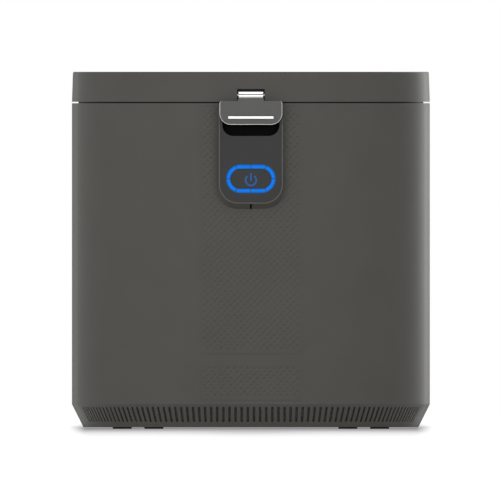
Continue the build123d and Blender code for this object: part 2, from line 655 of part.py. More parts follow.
# ---- Shell and deck --------------------------------------------------------------------------
def make_shell():
    shell = body(SHELL_Z, SHELL_TOP, 0) - body(SHELL_Z, SHELL_TOP, WALL)
    behind = (INSIDE_REAR - WALL, REAR_Y + WALL)
    shell -= block((-BAY_HALF, BAY_HALF), behind, (BAY_LOW, BAY_HIGH))
    half = GRILLE_SIZE / 2
    shell -= block((-half, half), behind, (FAN_Z - half, FAN_Z + half))
    shell -= block((INLET_X - INLET_WIDTH / 2, INLET_X + INLET_WIDTH / 2), behind,
                   (INLET_Z - INLET_HEIGHT / 2, INLET_Z + INLET_HEIGHT / 2))
    for side in SIDES:
        shell -= rod_y(SCREW_RADIUS + FIT, side * POD_SCREW_X, (FRONT_Y, INSIDE_FRONT), POD_SCREW_Z)

    seat = WALL + FIT
    deck = body(DECK_Z, DECK_TOP, seat)
    deck += body(DECK_Z, SHELL_TOP, seat) - body(DECK_Z, SHELL_TOP, WALL + RIM_WIDTH)
    deck -= disc(WELL_OUTSIDE + FIT, DECK_Z, DECK_TOP, WELL)
    deck -= disc(FLANGE_RADIUS + FIT, DECK_TOP - WELL_WALL, DECK_TOP, WELL)
    for side in SIDES:
        span = (side * TOWER_X - TOWER_WIDTH / 2, side * TOWER_X + TOWER_WIDTH / 2)
        tower = block(span, (HINGE_Y - TOWER_RADIUS, HINGE_Y + TOWER_RADIUS), (DECK_Z, HINGE_Z))
        tower += rod_x(TOWER_RADIUS, span, HINGE_Y, HINGE_Z)
        tower -= block(span, (INSIDE_REAR - FIT, REAR_Y), (DECK_Z, SHELL_TOP + TOWER_CLEAR))
        deck += tower
        deck -= rod_x(HINGE_PIN, span, HINGE_Y, HINGE_Z)
    for point in POSTS:
        deck -= disc(POST_SPIGOT + FIT, DECK_Z, DECK_TOP, point)

    reach = TOWER_WIDTH / 2 + PLAY + LUG_WIDTH
    pins = group(*[rod_x(HINGE_PIN, (side * TOWER_X - reach, side * TOWER_X + reach), HINGE_Y, HINGE_Z)
                   for side in SIDES])

    switch = block(SENSOR_SPAN_X, SENSOR_SPAN_Y, (DECK_Z - SENSOR_HEIGHT, DECK_Z))
    return {"outer_shell": shell, "top_deck": deck, "hinge_pins": pins, "lid_switch": switch}


# ---- Well and bucket -------------------------------------------------------------------------
def make_well():
    well = disc(WELL_OUTSIDE, WELL_FLOOR_Z - WELL_WALL, DECK_TOP, WELL)
    well += disc(FLANGE_RADIUS, DECK_TOP - WELL_WALL, DECK_TOP, WELL)
    well -= disc(WELL_RADIUS, WELL_FLOOR_Z, DECK_TOP, WELL)
    well -= disc(WELL_HOLE, WELL_FLOOR_Z - WELL_WALL, WELL_FLOOR_Z, WELL)
    half = VENT_WIDTH / 2
    high = (VENT_Z - VENT_HEIGHT / 2, VENT_Z + VENT_HEIGHT / 2)
    well -= block((-half, half), (WELL_Y, BAY_FRONT), high)

    low = WELL_FLOOR_Z + HEATER_LOW
    heater = ring(HEATER_RADIUS + HEATER_THICKNESS, HEATER_RADIUS, low, low + HEATER_HEIGHT, WELL)
    wrap = ring(INSULATION_OUT, INSULATION_IN, WELL_FLOOR_Z, INSULATION_TOP, WELL)

    duct = block((-half - DUCT_WALL, half + DUCT_WALL), (WELL_Y, BAY_FRONT - DUCT_WALL - FIT),
                 (high[0] - DUCT_WALL, high[1] + DUCT_WALL))
    duct -= block((-half, half), (WELL_Y, BAY_FRONT), high)
    duct -= disc(WELL_OUTSIDE + FIT, VENT_Z - VENT_HEIGHT, VENT_Z + VENT_HEIGHT, WELL)

    under = WELL_FLOOR_Z - WELL_WALL
    thermostat = disc(THERMOSTAT_RADIUS, under - THERMOSTAT_HEIGHT, under, (THERMOSTAT_X, WELL_Y))
    return {"well_liner": well, "heater_band": heater, "insulation_wrap": wrap, "vent_duct": duct,
            "thermostat": thermostat}


def make_bucket():
    bucket = disc(BUCKET_OUTSIDE, BUCKET_Z, BUCKET_TOP, WELL)
    bucket += disc(BUCKET_OUTSIDE + RIM_ROLL, BUCKET_TOP - RIM_ROLL_HEIGHT, BUCKET_TOP, WELL)
    bucket += ring(FOOT_RING_RADIUS, FOOT_RING_RADIUS - FOOT_RING_WIDTH, WELL_FLOOR_Z, BUCKET_Z, WELL)
    bucket -= disc(BUCKET_RADIUS, BUCKET_FLOOR_TOP, BUCKET_TOP, WELL)
    bush_radius = AGITATOR_SHAFT + RUN + BUSH_WALL
    bucket -= disc(bush_radius, BUCKET_Z, BUCKET_FLOOR_TOP, WELL)

    bush = disc(bush_radius, BUCKET_Z, BUCKET_FLOOR_TOP, WELL)
    bush += disc(bush_radius + BUSH_FLANGE_WIDTH, BUCKET_FLOOR_TOP, BUCKET_FLOOR_TOP + BUSH_FLANGE, WELL)
    bush -= disc(AGITATOR_SHAFT + RUN, BUCKET_Z, BUCKET_FLOOR_TOP + BUSH_FLANGE, WELL)

    bars = []
    inside = disc(BUCKET_RADIUS, BUCKET_FLOOR_TOP, BUCKET_TOP, WELL)
    for level in range(ARM_LEVELS - 1):
        low = ARM_Z + level * ARM_STEP + ARM_HEIGHT + (ARM_STEP - ARM_HEIGHT - BAR_HEIGHT) / 2
        bar = block((BAR_START, BUCKET_OUTSIDE), (-BAR_WIDTH / 2, BAR_WIDTH / 2), (low, low + BAR_HEIGHT))
        for side in (0, 180):
            bars.append(inside & Pos(0, WELL_Y, 0) * Rot(0, 0, side + 90 * level + 45) * bar)

    wide = (WELL_Y - EAR_WIDTH / 2, WELL_Y + EAR_WIDTH / 2)
    ear = block((EAR_IN, EAR_IN + EAR_THICKNESS), wide, (BUCKET_TOP, BUCKET_TOP + EAR_RISE))
    ear += block((EAR_IN, BUCKET_OUTSIDE), wide, (BUCKET_TOP, BUCKET_TOP + EAR_FOOT))
    ear += rod_x(BAIL_PIN, (EAR_IN - BAIL_WIDTH - PLAY, EAR_IN), WELL_Y, BAIL_PIVOT_Z)
    ears = group(ear, mirror(ear, Plane.YZ))
    return {"bucket_body": bucket, "bucket_bush": bush, "shear_bars": group(*bars), "bail_ears": ears}


def make_bail():
    outer = EAR_IN - BAIL_GAP
    inner = outer - BAIL_WIDTH
    low = BAIL_PIVOT_Z - BAIL_THICKNESS / 2
    high = BAIL_PIVOT_Z + BAIL_THICKNESS / 2
    bail = ring(outer, inner, low, high, WELL)
    bail -= block((-outer - OVER, outer + OVER), (WELL_Y, WELL_Y + outer + OVER), (low, high))
    for side in SIDES:
        span = sorted((side * inner, side * outer))
        bail += rod_x(BAIL_EYE, span, WELL_Y, BAIL_PIVOT_Z)
        bail -= rod_x(BAIL_PIN + RUN, (span[0] - OVER, span[1] + OVER), WELL_Y, BAIL_PIVOT_Z)
    return {"bucket_bail": bail}


# ---- Gears and drive -------------------------------------------------------------------------
def gear_face(teeth, module, gap_at):
    """An involute gear's outline, turned so that a gap is centred at the angle gap_at (radians)."""
    pressure = math.radians(PRESSURE_ANGLE)
    pitch = teeth * module / 2
    base = pitch * math.cos(pressure)
    tip = pitch + module
    root = pitch - 1.25 * module
    half_at_base = (math.pi * module / 2 - BACKLASH) / (2 * pitch) + math.tan(pressure) - pressure
    start = max(base, root)
    radii = [start + (tip - start) * step / FLANK_STEPS for step in range(FLANK_STEPS + 1)]
    flank = []
    if base > root:
        flank.append((root, half_at_base))
    for radius in radii:
        angle = math.acos(min(1.0, base / radius))
        flank.append((radius, half_at_base - (math.tan(angle) - angle)))
    points = []
    for tooth in range(teeth):
        middle = gap_at + math.pi / teeth + 2 * math.pi * tooth / teeth
        polar = [(radius, middle - half) for radius, half in flank]
        polar += [(radius, middle + half) for radius, half in reversed(flank)]
        points += [(radius * math.cos(angle), radius * math.sin(angle)) for radius, angle in polar]
    return make_face(Polyline(*points, close=True))


def gear(teeth, module, low, high, at, gap_at):
    return Pos(at[0], at[1], low) * extrude(gear_face(teeth, module, gap_at), amount=high - low)


def driven_gap(teeth):
    """Where a gap lies on a wheel that has a tooth at angle 0."""
    return -math.pi / teeth


def make_drive():
    output_high = OUTPUT_GEAR_Z + OUTPUT_FACE
    first_high = FIRST_GEAR_Z + FIRST_FACE
    output = gear(WHEEL_TEETH, SECOND_MODULE, OUTPUT_GEAR_Z, output_high, WELL, driven_gap(WHEEL_TEETH))
    hub = (OUTPUT_GEAR_Z - GEAR_SPACE + HUB_THRUST_GAP, FIRST_GEAR_Z)
    output += disc(OUTPUT_SHAFT_RADIUS + HUB_WALL, *hub, WELL)
    output += disc(OUTPUT_SHAFT_RADIUS, GEARBOX_Z + SHAFT_END, TONGUE_Z - COUPLING_CAP, WELL)

    pinion_low = OUTPUT_GEAR_Z - PINION_LAP
    counter = gear(PINION_TEETH, SECOND_MODULE, pinion_low, FIRST_GEAR_Z, COUNTERSHAFT, math.pi)
    gap = driven_gap(WHEEL_TEETH)
    counter += gear(WHEEL_TEETH, FIRST_MODULE, FIRST_GEAR_Z, first_high, COUNTERSHAFT, gap)
    counter += disc(COUNTERSHAFT_RADIUS, GEARBOX_Z + SHAFT_END, COVER_TOP - SHAFT_END, COUNTERSHAFT)

    pinion_high = first_high + PINION_LAP
    pinion = gear(PINION_TEETH, FIRST_MODULE, FIRST_GEAR_Z - PINION_LAP, pinion_high, MOTOR, math.pi)
    pinion += disc(MOTOR_SHAFT_RADIUS, GEARBOX_Z - MOTOR_SHAFT_DEPTH, pinion_high, MOTOR)

    coupling = disc(COUPLING_RADIUS, DRIVE_COUPLING_Z, TONGUE_Z, WELL)
    tongue_half = COUPLING_RADIUS - TONGUE_INSET
    coupling += block((-tongue_half, tongue_half), (WELL_Y - TONGUE_WIDTH / 2, WELL_Y + TONGUE_WIDTH / 2),
                      (TONGUE_Z, TONGUE_Z + TONGUE_HEIGHT))
    coupling -= disc(OUTPUT_SHAFT_RADIUS, DRIVE_COUPLING_Z, TONGUE_Z - COUPLING_CAP, WELL)

    slot_top = TONGUE_Z + TONGUE_HEIGHT + COUPLING_GAP
    driven = disc(COUPLING_RADIUS, BUCKET_COUPLING_Z, BUCKET_Z - COUPLING_CLEAR, WELL)
    slot_half = TONGUE_WIDTH / 2 + TONGUE_PLAY
    driven -= block((-COUPLING_RADIUS, COUPLING_RADIUS), (WELL_Y - slot_half, WELL_Y + slot_half),
                    (BUCKET_COUPLING_Z, slot_top))
    driven -= disc(AGITATOR_SHAFT, slot_top, BUCKET_Z, WELL)

    agitator = disc(AGITATOR_SHAFT, slot_top, ARM_Z, WELL)
    agitator += disc(HUB_RADIUS, ARM_Z - HUB_DROP, ARM_Z + ARM_HEIGHT, WELL)
    top = ARM_Z + (ARM_LEVELS - 1) * ARM_STEP + ARM_HEIGHT
    agitator += disc(COLUMN_RADIUS, ARM_Z, top + COLUMN_RISE, WELL)
    for level in range(ARM_LEVELS):
        low = ARM_Z + level * ARM_STEP
        arm = block((-ARM_REACH, ARM_REACH), (-ARM_WIDTH / 2, ARM_WIDTH / 2), (low, low + ARM_HEIGHT))
        edge = ARM_HEIGHT / 2
        for side in SIDES:
            corner = Pos(0, side * ARM_WIDTH / 2, low + ARM_HEIGHT)
            arm -= corner * Rot(45, 0, 0) * Box(2 * ARM_REACH, edge, edge)
        agitator += Pos(0, WELL_Y, 0) * Rot(0, 0, ARM_TURN * level) * arm
    return {"output_gear": output, "countershaft_gears": counter, "motor_pinion": pinion,
            "drive_coupling": coupling, "bucket_coupling": driven, "agitator": agitator}


def gearbox_outline(inset, low, high):
    x = (GEARBOX_X[0] + inset, GEARBOX_X[1] - inset)
    half = GEARBOX_HALF - inset
    drawing = RectangleRounded(x[1] - x[0], 2 * half, GEARBOX_CORNER - inset)
    return Pos((x[0] + x[1]) / 2, WELL_Y, low) * extrude(drawing, amount=high - low)


def make_gearbox():
    housing = gearbox_outline(0, GEARBOX_Z, GEARBOX_TOP)
    housing -= gearbox_outline(WALL, GEARBOX_Z + GEARBOX_FLOOR, GEARBOX_TOP)
    for point in GEARBOX_SCREWS:
        housing += disc(GEARBOX_BOSS, GEARBOX_Z, GEARBOX_TOP, point)
        housing -= disc(SCREW_RADIUS + FIT, GEARBOX_Z, GEARBOX_TOP, point)
    floor = (GEARBOX_Z, GEARBOX_Z + GEARBOX_FLOOR)
    housing -= disc(OUTPUT_SHAFT_RADIUS + RUN, *floor, WELL)
    housing -= disc(COUNTERSHAFT_RADIUS + RUN, *floor, COUNTERSHAFT)
    housing -= disc(MOTOR_SHAFT_RADIUS + MOTOR_HOLE_GAP, *floor, MOTOR)

    cover = gearbox_outline(0, GEARBOX_TOP, COVER_TOP)
    bearing_radius = OUTPUT_SHAFT_RADIUS + RUN + BEARING_WALL
    cover -= disc(bearing_radius, GEARBOX_TOP, COVER_TOP, WELL)
    cover -= disc(COUNTERSHAFT_RADIUS + RUN, GEARBOX_TOP, COVER_TOP, COUNTERSHAFT)
    for point in GEARBOX_SCREWS:
        cover -= disc(SCREW_RADIUS + FIT, GEARBOX_TOP, COVER_TOP, point)

    bearing = ring(bearing_radius, OUTPUT_SHAFT_RADIUS + RUN, COVER_TOP - BEARING_LENGTH, COVER_TOP, WELL)
    low = COVER_TOP - GEARBOX_SCREW_LENGTH
    screws = at_each(GEARBOX_SCREWS, lambda point: disc(SCREW_RADIUS, low, COVER_TOP + SCREW_HEAD, point)
                     + disc(SCREW_HEAD_RADIUS, COVER_TOP, COVER_TOP + SCREW_HEAD, point))

    motor = disc(MOTOR_RADIUS, GEARBOX_Z - MOTOR_LENGTH, GEARBOX_Z, MOTOR)
    motor -= disc(MOTOR_SHAFT_RADIUS + RUN, GEARBOX_Z - MOTOR_BORE_DEPTH, GEARBOX_Z, MOTOR)
    return {"gearbox_housing": housing, "gearbox_cover": cover, "output_bearing": bearing,
            "gearbox_screws": screws, "drive_motor": motor}


# ---- Lid -------------------------------------------------------------------------------------
def make_lid():
    edge_z = LID_TOP - LID_EDGE
    edge_inset = LID_DRAFT * (LID_HEIGHT - LID_EDGE) / LID_HEIGHT
    cover = body(LID_Z, edge_z, 0, edge_inset) + body(edge_z, LID_TOP, edge_inset, edge_inset + LID_EDGE)
    top_inside = LID_TOP - WALL
    inside = WALL + LID_DRAFT * (LID_HEIGHT - WALL) / LID_HEIGHT
    cover -= body(LID_Z, top_inside, WALL, inside)
    cover -= block((-LATCH_SLOT / 2, LATCH_SLOT / 2), (FRONT_Y - WALL, INSIDE_FRONT + WALL),
                   (LID_Z, LID_Z + LATCH_SLOT_HEIGHT))
    notch_half = TOWER_WIDTH / 2 + PLAY
    swing = TOWER_RADIUS + ROOM
    notches = []
    for side in SIDES:
        x = side * TOWER_X
        notches.append(block((x - notch_half, x + notch_half), (HINGE_Y - swing, REAR_Y + WALL),
                             (STEP_Z, HINGE_Z + swing)))
        for lug_side in SIDES:
            span = sorted((x + lug_side * notch_half, x + lug_side * (notch_half + LUG_WIDTH)))
            cover += block(span, (HINGE_Y - LUG_RADIUS, INSIDE_REAR - LID_DRAFT / 2),
                           (HINGE_Z - LUG_RADIUS, top_inside))
            cover -= rod_x(HINGE_PIN + RUN, span, HINGE_Y, HINGE_Z)
    cover -= notches

    seat = WALL + LINER_GAP
    liner = body(STEP_Z, LID_Z, STEP_INSET)
    flange = body(LID_Z, LID_Z + WALL, seat) - body(LID_Z, LID_Z + WALL, STEP_INSET + WALL)
    pocket = LATCH_SLOT / 2 + CHEEK + FIT
    flange -= block((-pocket, pocket), (FRONT_Y, BRACKET_BACK + FIT), (LID_Z, LID_Z + WALL))
    liner += flange
    liner -= notches
    seal_in = FLANGE_RADIUS + SEAL_GAP
    seal_out = seal_in + SEAL_WIDTH
    liner -= ring(seal_out + FIT, seal_in - FIT, STEP_Z, STEP_Z + SEAL_GROOVE, WELL)
    seal = ring(seal_out, seal_in, DECK_TOP, STEP_Z + SEAL_GROOVE, WELL)
    shield = disc(SHIELD_RADIUS, STEP_Z - SHIELD_THICKNESS, STEP_Z, WELL)

    magnet = block(SENSOR_SPAN_X, SENSOR_SPAN_Y, (LID_Z, LID_Z + SENSOR_HEIGHT))
    return {"lid_cover": cover, "lid_liner": liner, "lid_seal": seal, "heat_shield": shield,
            "lid_magnet": magnet}


# ---- Latch -----------------------------------------------------------------------------------
def latch_plate():
    """Plate outline: large radii at the two lower corners, small ones at the top."""
    half = PLATE_WIDTH / 2
    low = PLATE_TOP - PLATE_HEIGHT
    corners = [(-half, PLATE_TOP), (-half, low), (half, low), (half, PLATE_TOP)]
    radii = [PLATE_TOP_RADIUS, PLATE_RADIUS, PLATE_RADIUS, PLATE_TOP_RADIUS]
    return make_face(FilletPolyline(*corners, radius=radii, close=True))


def make_latch():
    lever = slab(latch_plate(), (PLATE_FRONT, PLATE_BACK))
    neck_top = KNUCKLE_Z - KNUCKLE_RADIUS
    neck = (-NECK_WIDTH / 2, NECK_WIDTH / 2)
    lever += block(neck, (PLATE_FRONT, KNUCKLE_Y + CRADLE_HALF), (neck_top - NECK_THICKNESS, neck_top))
    cradle = (-KNUCKLE_LENGTH / 2, KNUCKLE_LENGTH / 2)
    lever += block(cradle, (KNUCKLE_Y - CRADLE_HALF, KNUCKLE_Y + CRADLE_HALF),
                   (neck_top - NECK_THICKNESS, neck_top + CRADLE_LIP))
    lever -= rod_x(KNUCKLE_RADIUS + CRADLE_GAP, (-NECK_WIDTH, NECK_WIDTH), KNUCKLE_Y, KNUCKLE_Z)
    rib = (-RIB_LENGTH / 2, RIB_LENGTH / 2)
    rib_z = PLATE_TOP - RIB_DROP
    lever += block(rib, (LATCH_FRONT, PLATE_BACK), (rib_z - RIB_HEIGHT / 2, rib_z + RIB_HEIGHT / 2))
    hook = (-HOOK_WIDTH / 2, HOOK_WIDTH / 2)
    leaf_front = RECESS_BACK - CATCH_THICKNESS
    nose_y = leaf_front - HOOK_GAP
    lever += block(hook, (PLATE_BACK, nose_y), (HOOK_Z - HOOK_THICKNESS, HOOK_Z))
    lever += block(hook, (nose_y - NOSE_LENGTH, nose_y), (HOOK_Z - HOOK_THICKNESS, HOOK_Z + NOSE_HEIGHT))

    half = KNUCKLE_LENGTH / 2
    knuckle = rod_x(KNUCKLE_RADIUS, (-half, half), KNUCKLE_Y, KNUCKLE_Z)
    knuckle -= rod_x(LATCH_PIN + RUN, (-half, half), KNUCKLE_Y, KNUCKLE_Z)
    hollow = half - KNUCKLE_END
    knuckle -= rod_x(KNUCKLE_RADIUS - KNUCKLE_WALL, (-hollow, hollow), KNUCKLE_Y, KNUCKLE_Z)

    pocket = LATCH_SLOT / 2
    pin = rod_x(LATCH_PIN, (-pocket - CHEEK, pocket + CHEEK), KNUCKLE_Y, KNUCKLE_Z)

    coil_radius = (LATCH_PIN + RUN + KNUCKLE_RADIUS + RUN - KNUCKLE_WALL) / 2
    pitch = 2 * (hollow - SPRING_END) / SPRING_TURNS
    height = pitch * SPRING_TURNS
    path = Helix(pitch=pitch, height=height, radius=coil_radius)
    section = Plane(origin=path @ 0, z_dir=path % 0) * Circle(SPRING_WIRE)
    coil = sweep(section, path=path)
    spring = Pos(-height / 2, KNUCKLE_Y, KNUCKLE_Z) * Rot(0, 90, 0) * coil

    bracket_y = (INSIDE_FRONT + LID_DRAFT, BRACKET_BACK)
    bracket_z = (LID_Z, LID_Z + LATCH_SLOT_HEIGHT + WALL)
    bracket = block((-pocket - CHEEK, pocket + CHEEK), bracket_y, bracket_z)
    bracket -= block((-pocket, pocket), (bracket_y[0], BRACKET_BACK - WALL),
                     (LID_Z, LID_Z + LATCH_SLOT_HEIGHT))
    bracket -= rod_x(LATCH_PIN, (-pocket - CHEEK, pocket + CHEEK), KNUCKLE_Y, KNUCKLE_Z)

    leaf_top = SHELL_TOP - CATCH_DROP
    leaf_low = leaf_top - CATCH_HEIGHT
    bump_z = HOOK_Z + NOSE_HEIGHT + CATCH_GAP
    profile = Polyline((RECESS_BACK, leaf_top), (RECESS_BACK, leaf_low), (leaf_front, leaf_low),
                       (leaf_front, bump_z), (nose_y - BITE, bump_z), (leaf_front, bump_z + CATCH_RAMP),
                       (leaf_front, leaf_top), close=True)
    catch = extrude(Plane.YZ * make_face(profile), amount=CATCH_WIDTH / 2, both=True)
    return {"latch_lever": lever, "latch_knuckle": knuckle, "latch_pin": pin, "latch_spring": spring,
            "latch_bracket": bracket, "latch_catch": catch}


# ---- Control pod -----------------------------------------------------------------------------
def pod_outline(half, low, radius):
    """Pod outline, square at the top where it meets the housing's edge."""
    high = SHELL_TOP
    edges = [
        Line((-half, high), (-half, low + radius)),
        CenterArc((-half + radius, low + radius), radius, 180, 90),
        Line((-half + radius, low), (half - radius, low)),
        CenterArc((half - radius, low + radius), radius, 270, 90),
        Line((half, low + radius), (half, high)),
        Line((half, high), (-half, high)),
    ]
    return make_face(edges)


def recess_drawing(half, top):
    low = RECESS_Z
    corners = [(-half, top), (-half, low), (half, low), (half, top)]
    small = OVER / 2
    radii = [small, RECESS_RADIUS, RECESS_RADIUS, small]
    return make_face(FilletPolyline(*corners, radius=radii, close=True))


def stadium(half_length, radius):
    return Pos(0, KEY_Z) * SlotOverall(2 * half_length, 2 * radius)


def make_pod():
    front_half = POD_HALF - POD_SIDE_DRAFT
    front_low = POD_Z + POD_CHIN
    face_half = front_half - POD_RIM
    face_low = front_low + POD_RIM
    pod = loft([front_plane(FRONT_Y) * pod_outline(POD_HALF, POD_Z, POD_RADIUS),
                front_plane(POD_FRONT) * pod_outline(front_half, front_low, POD_FRONT_RADIUS)], ruled=True)
    pod -= slab(pod_outline(face_half, face_low, FACE_RADIUS), (POD_FRONT, FACE_BACK))
    cavity_half = face_half - POD_CHEEK
    cavity_low = face_low + POD_CHEEK
    cavity_high = RECESS_Z - SHELF
    cavity = Pos(0, (cavity_low + cavity_high) / 2) * Rectangle(2 * cavity_half, cavity_high - cavity_low)
    electronics = slab(cavity, (FACE_BACK, FRONT_Y))
    electronics &= slab(pod_outline(cavity_half, cavity_low, FACE_RADIUS - POD_CHEEK), (FACE_BACK, FRONT_Y))
    pod -= electronics
    pod -= slab(recess_drawing(RECESS_HALF, SHELL_TOP + OVER), (POD_FRONT, RECESS_BACK))
    for side in SIDES:
        pod += rod_y(SCREW_HEAD_RADIUS, side * POD_SCREW_X, (FACE_BACK, FRONT_Y), POD_SCREW_Z)
        pod -= rod_y(SCREW_RADIUS, side * POD_SCREW_X, (FRONT_Y - POD_SCREW_DEPTH, FRONT_Y), POD_SCREW_Z)
    pod -= block((-CHIN_SLOT_WIDTH / 2, CHIN_SLOT_WIDTH / 2), (POD_FRONT, FRONT_Y - POD_BACK),
                 (POD_Z, POD_Z + CHIN_SLOT_HEIGHT))

    face = slab(pod_outline(face_half - FIT, face_low + FIT, FACE_RADIUS), (FACE_FRONT, FACE_BACK))
    face -= slab(recess_drawing(RECESS_HALF, SHELL_TOP + OVER), (FACE_FRONT, FACE_BACK))
    inner_length = RING_HALF_LENGTH - RING_BAND
    inner_radius = RING_RADIUS - RING_BAND
    band = slab(stadium(RING_HALF_LENGTH, RING_RADIUS), (FACE_FRONT, FACE_BACK))
    band -= slab(stadium(inner_length, inner_radius), (FACE_FRONT, FACE_BACK))
    segments = band - ring_cutters()
    face -= slab(stadium(inner_length - RING_EDGE, inner_radius - RING_EDGE), (FACE_FRONT, FACE_BACK))
    face -= segments

    key_length = inner_length - RING_EDGE - KEY_GAP
    key_radius = inner_radius - RING_EDGE - KEY_GAP
    key_back = FACE_FRONT + KEY_THICKNESS
    flange_back = key_back + KEY_FLANGE_THICKNESS
    key = slab(stadium(key_length, key_radius), (FACE_FRONT, key_back))
    key += slab(stadium(key_length + KEY_FLANGE, key_radius + KEY_FLANGE), (key_back, flange_back))
    board_back = FRONT_Y - CONTROL_BOARD_GAP
    board_front = board_back - BOARD_THICKNESS
    switch_front = board_front - SWITCH_HEIGHT
    key += rod_y(KEY_STEM, 0, (flange_back, switch_front - KEY_TRAVEL - FIT), KEY_Z)
    symbol = power_symbol()
    key -= symbol

    board = block((-CONTROL_BOARD_HALF, CONTROL_BOARD_HALF), (board_front, board_back),
                  (KEY_Z - CONTROL_BOARD_HEIGHT / 2, KEY_Z + CONTROL_BOARD_HEIGHT / 2))
    size = SWITCH_SIZE / 2
    switch = block((-size, size), (switch_front, board_front), (KEY_Z - size, KEY_Z + size))
    screws = []
    for side in SIDES:
        x = side * POD_SCREW_X
        screws.append(rod_y(SCREW_RADIUS, x, (FRONT_Y - POD_SCREW_DEPTH, INSIDE_FRONT), POD_SCREW_Z)
                      + rod_y(SCREW_HEAD_RADIUS, x, (INSIDE_FRONT, INSIDE_FRONT + SCREW_HEAD), POD_SCREW_Z))
    return {"control_pod": pod, "pod_face": face, "light_segments": segments, "power_key": key,
            "power_symbol": symbol, "control_board": group(board, switch), "pod_screws": group(*screws)}


def ring_cutters():
    """Thin cutters that divide the lit ring: two across the middle, and two at each end arc's start."""
    depth = (FACE_FRONT - OVER, FACE_BACK + OVER)
    far = 2 * RING_RADIUS
    centre = RING_HALF_LENGTH - RING_RADIUS
    bar = Rectangle(RING_CUT, far, align=(Align.CENTER, Align.MIN))
    cutters = []
    for up in (0, 180):
        cutters.append(slab(Pos(0, KEY_Z) * Rot(0, 0, up) * bar, depth))
    for side in SIDES:
        for turn in (RING_CUT_TURN, 90, 180 - RING_CUT_TURN):
            cutters.append(slab(Pos(side * centre, KEY_Z) * Rot(0, 0, -side * turn) * bar, depth))
    return cutters


def power_symbol():
    """A plain standby sign: an open ring with a bar in its opening."""
    depth = (FACE_FRONT, FACE_FRONT + SYMBOL_DEPTH)
    loop = Circle(SYMBOL_RADIUS) - Circle(SYMBOL_RADIUS - SYMBOL_STROKE)
    far = 2 * SYMBOL_RADIUS
    half = math.radians(SYMBOL_OPENING / 2)
    wedge = make_face(Polyline((0, 0), (far * math.sin(half), far * math.cos(half)),
                               (-far * math.sin(half), far * math.cos(half)), close=True))
    bar = Pos(0, SYMBOL_BAR_TOP - SYMBOL_BAR_LENGTH / 2) * Rectangle(SYMBOL_STROKE, SYMBOL_BAR_LENGTH)
    drawing = Pos(0, KEY_Z - SYMBOL_DROP) * (loop - wedge + bar)
    return slab(drawing, depth)


# ---- Air path --------------------------------------------------------------------------------
def make_filter():
    half = BAY_HALF + DUCT_WALL
    bay = block((-half, half), (BAY_FRONT - DUCT_WALL, INSIDE_REAR),
                (BAY_LOW - DUCT_WALL, BAY_HIGH + DUCT_WALL))
    bay -= block((-BAY_HALF, BAY_HALF), (BAY_FRONT, INSIDE_REAR), (BAY_LOW, BAY_HIGH))
    vent = VENT_WIDTH / 2
    bay -= block((-vent, vent), (BAY_FRONT - DUCT_WALL, BAY_FRONT),
                 (VENT_Z - VENT_HEIGHT / 2, VENT_Z + VENT_HEIGHT / 2))
    across = (-OUTLET_WIDTH / 2, OUTLET_WIDTH / 2)
    outlet = BAY_FRONT + OUTLET_INSET
    bay -= block(across, (outlet, outlet + OUTLET_LENGTH), (BAY_LOW - DUCT_WALL, BAY_LOW))

    wide = FILTER_WIDTH / 2
    tall = (FILTER_Z, FILTER_Z + FILTER_HEIGHT)
    door_front = REAR_Y - DOOR_THICKNESS
    case = block((-wide, wide), (CASE_FRONT, door_front), tall)
    case -= block((-wide + FILTER_WALL, wide - FILTER_WALL), (CASE_FRONT + FILTER_WALL, door_front),
                  (tall[0] + FILTER_WALL, tall[1] - FILTER_WALL))
    slot_half = wide - CASE_SLOT_MARGIN
    for row in range(CASE_SLOT_ROWS):
        z = tall[1] - CASE_SLOT_DROP - row * CASE_SLOT_PITCH
        case -= block((-slot_half, slot_half), (CASE_FRONT, CASE_FRONT + FILTER_WALL), (z, z + CASE_SLOT))
    for row in range(OUTLET_SLOT_ROWS):
        y = outlet + OUTLET_SLOT_INSET + row * CASE_SLOT_PITCH
        case -= block(across, (y, y + CASE_SLOT), (tall[0], tall[0] + FILTER_WALL))

    door = block((-wide, wide), (door_front, REAR_Y), tall)
    pull_z = (tall[1] - PULL_DROP - PULL_HEIGHT, tall[1] - PULL_DROP)
    pull = (-PULL_WIDTH / 2, PULL_WIDTH / 2)
    door += block((pull[0] - FILTER_WALL, pull[1] + FILTER_WALL), (REAR_Y - PULL_DEPTH - FILTER_WALL, REAR_Y),
                  (pull_z[0] - FILTER_WALL, pull_z[1] + FILTER_WALL))
    door -= block(pull, (REAR_Y - PULL_DEPTH, REAR_Y), pull_z)

    inset = FILTER_WALL + CARBON_GAP
    carbon = block((-wide + inset, wide - inset), (CASE_FRONT + inset, door_front - PULL_DEPTH),
                   (tall[0] + inset, tall[1] - inset))
    return {"filter_bay": bay, "filter_case": case, "filter_door": door, "carbon_fill": carbon}


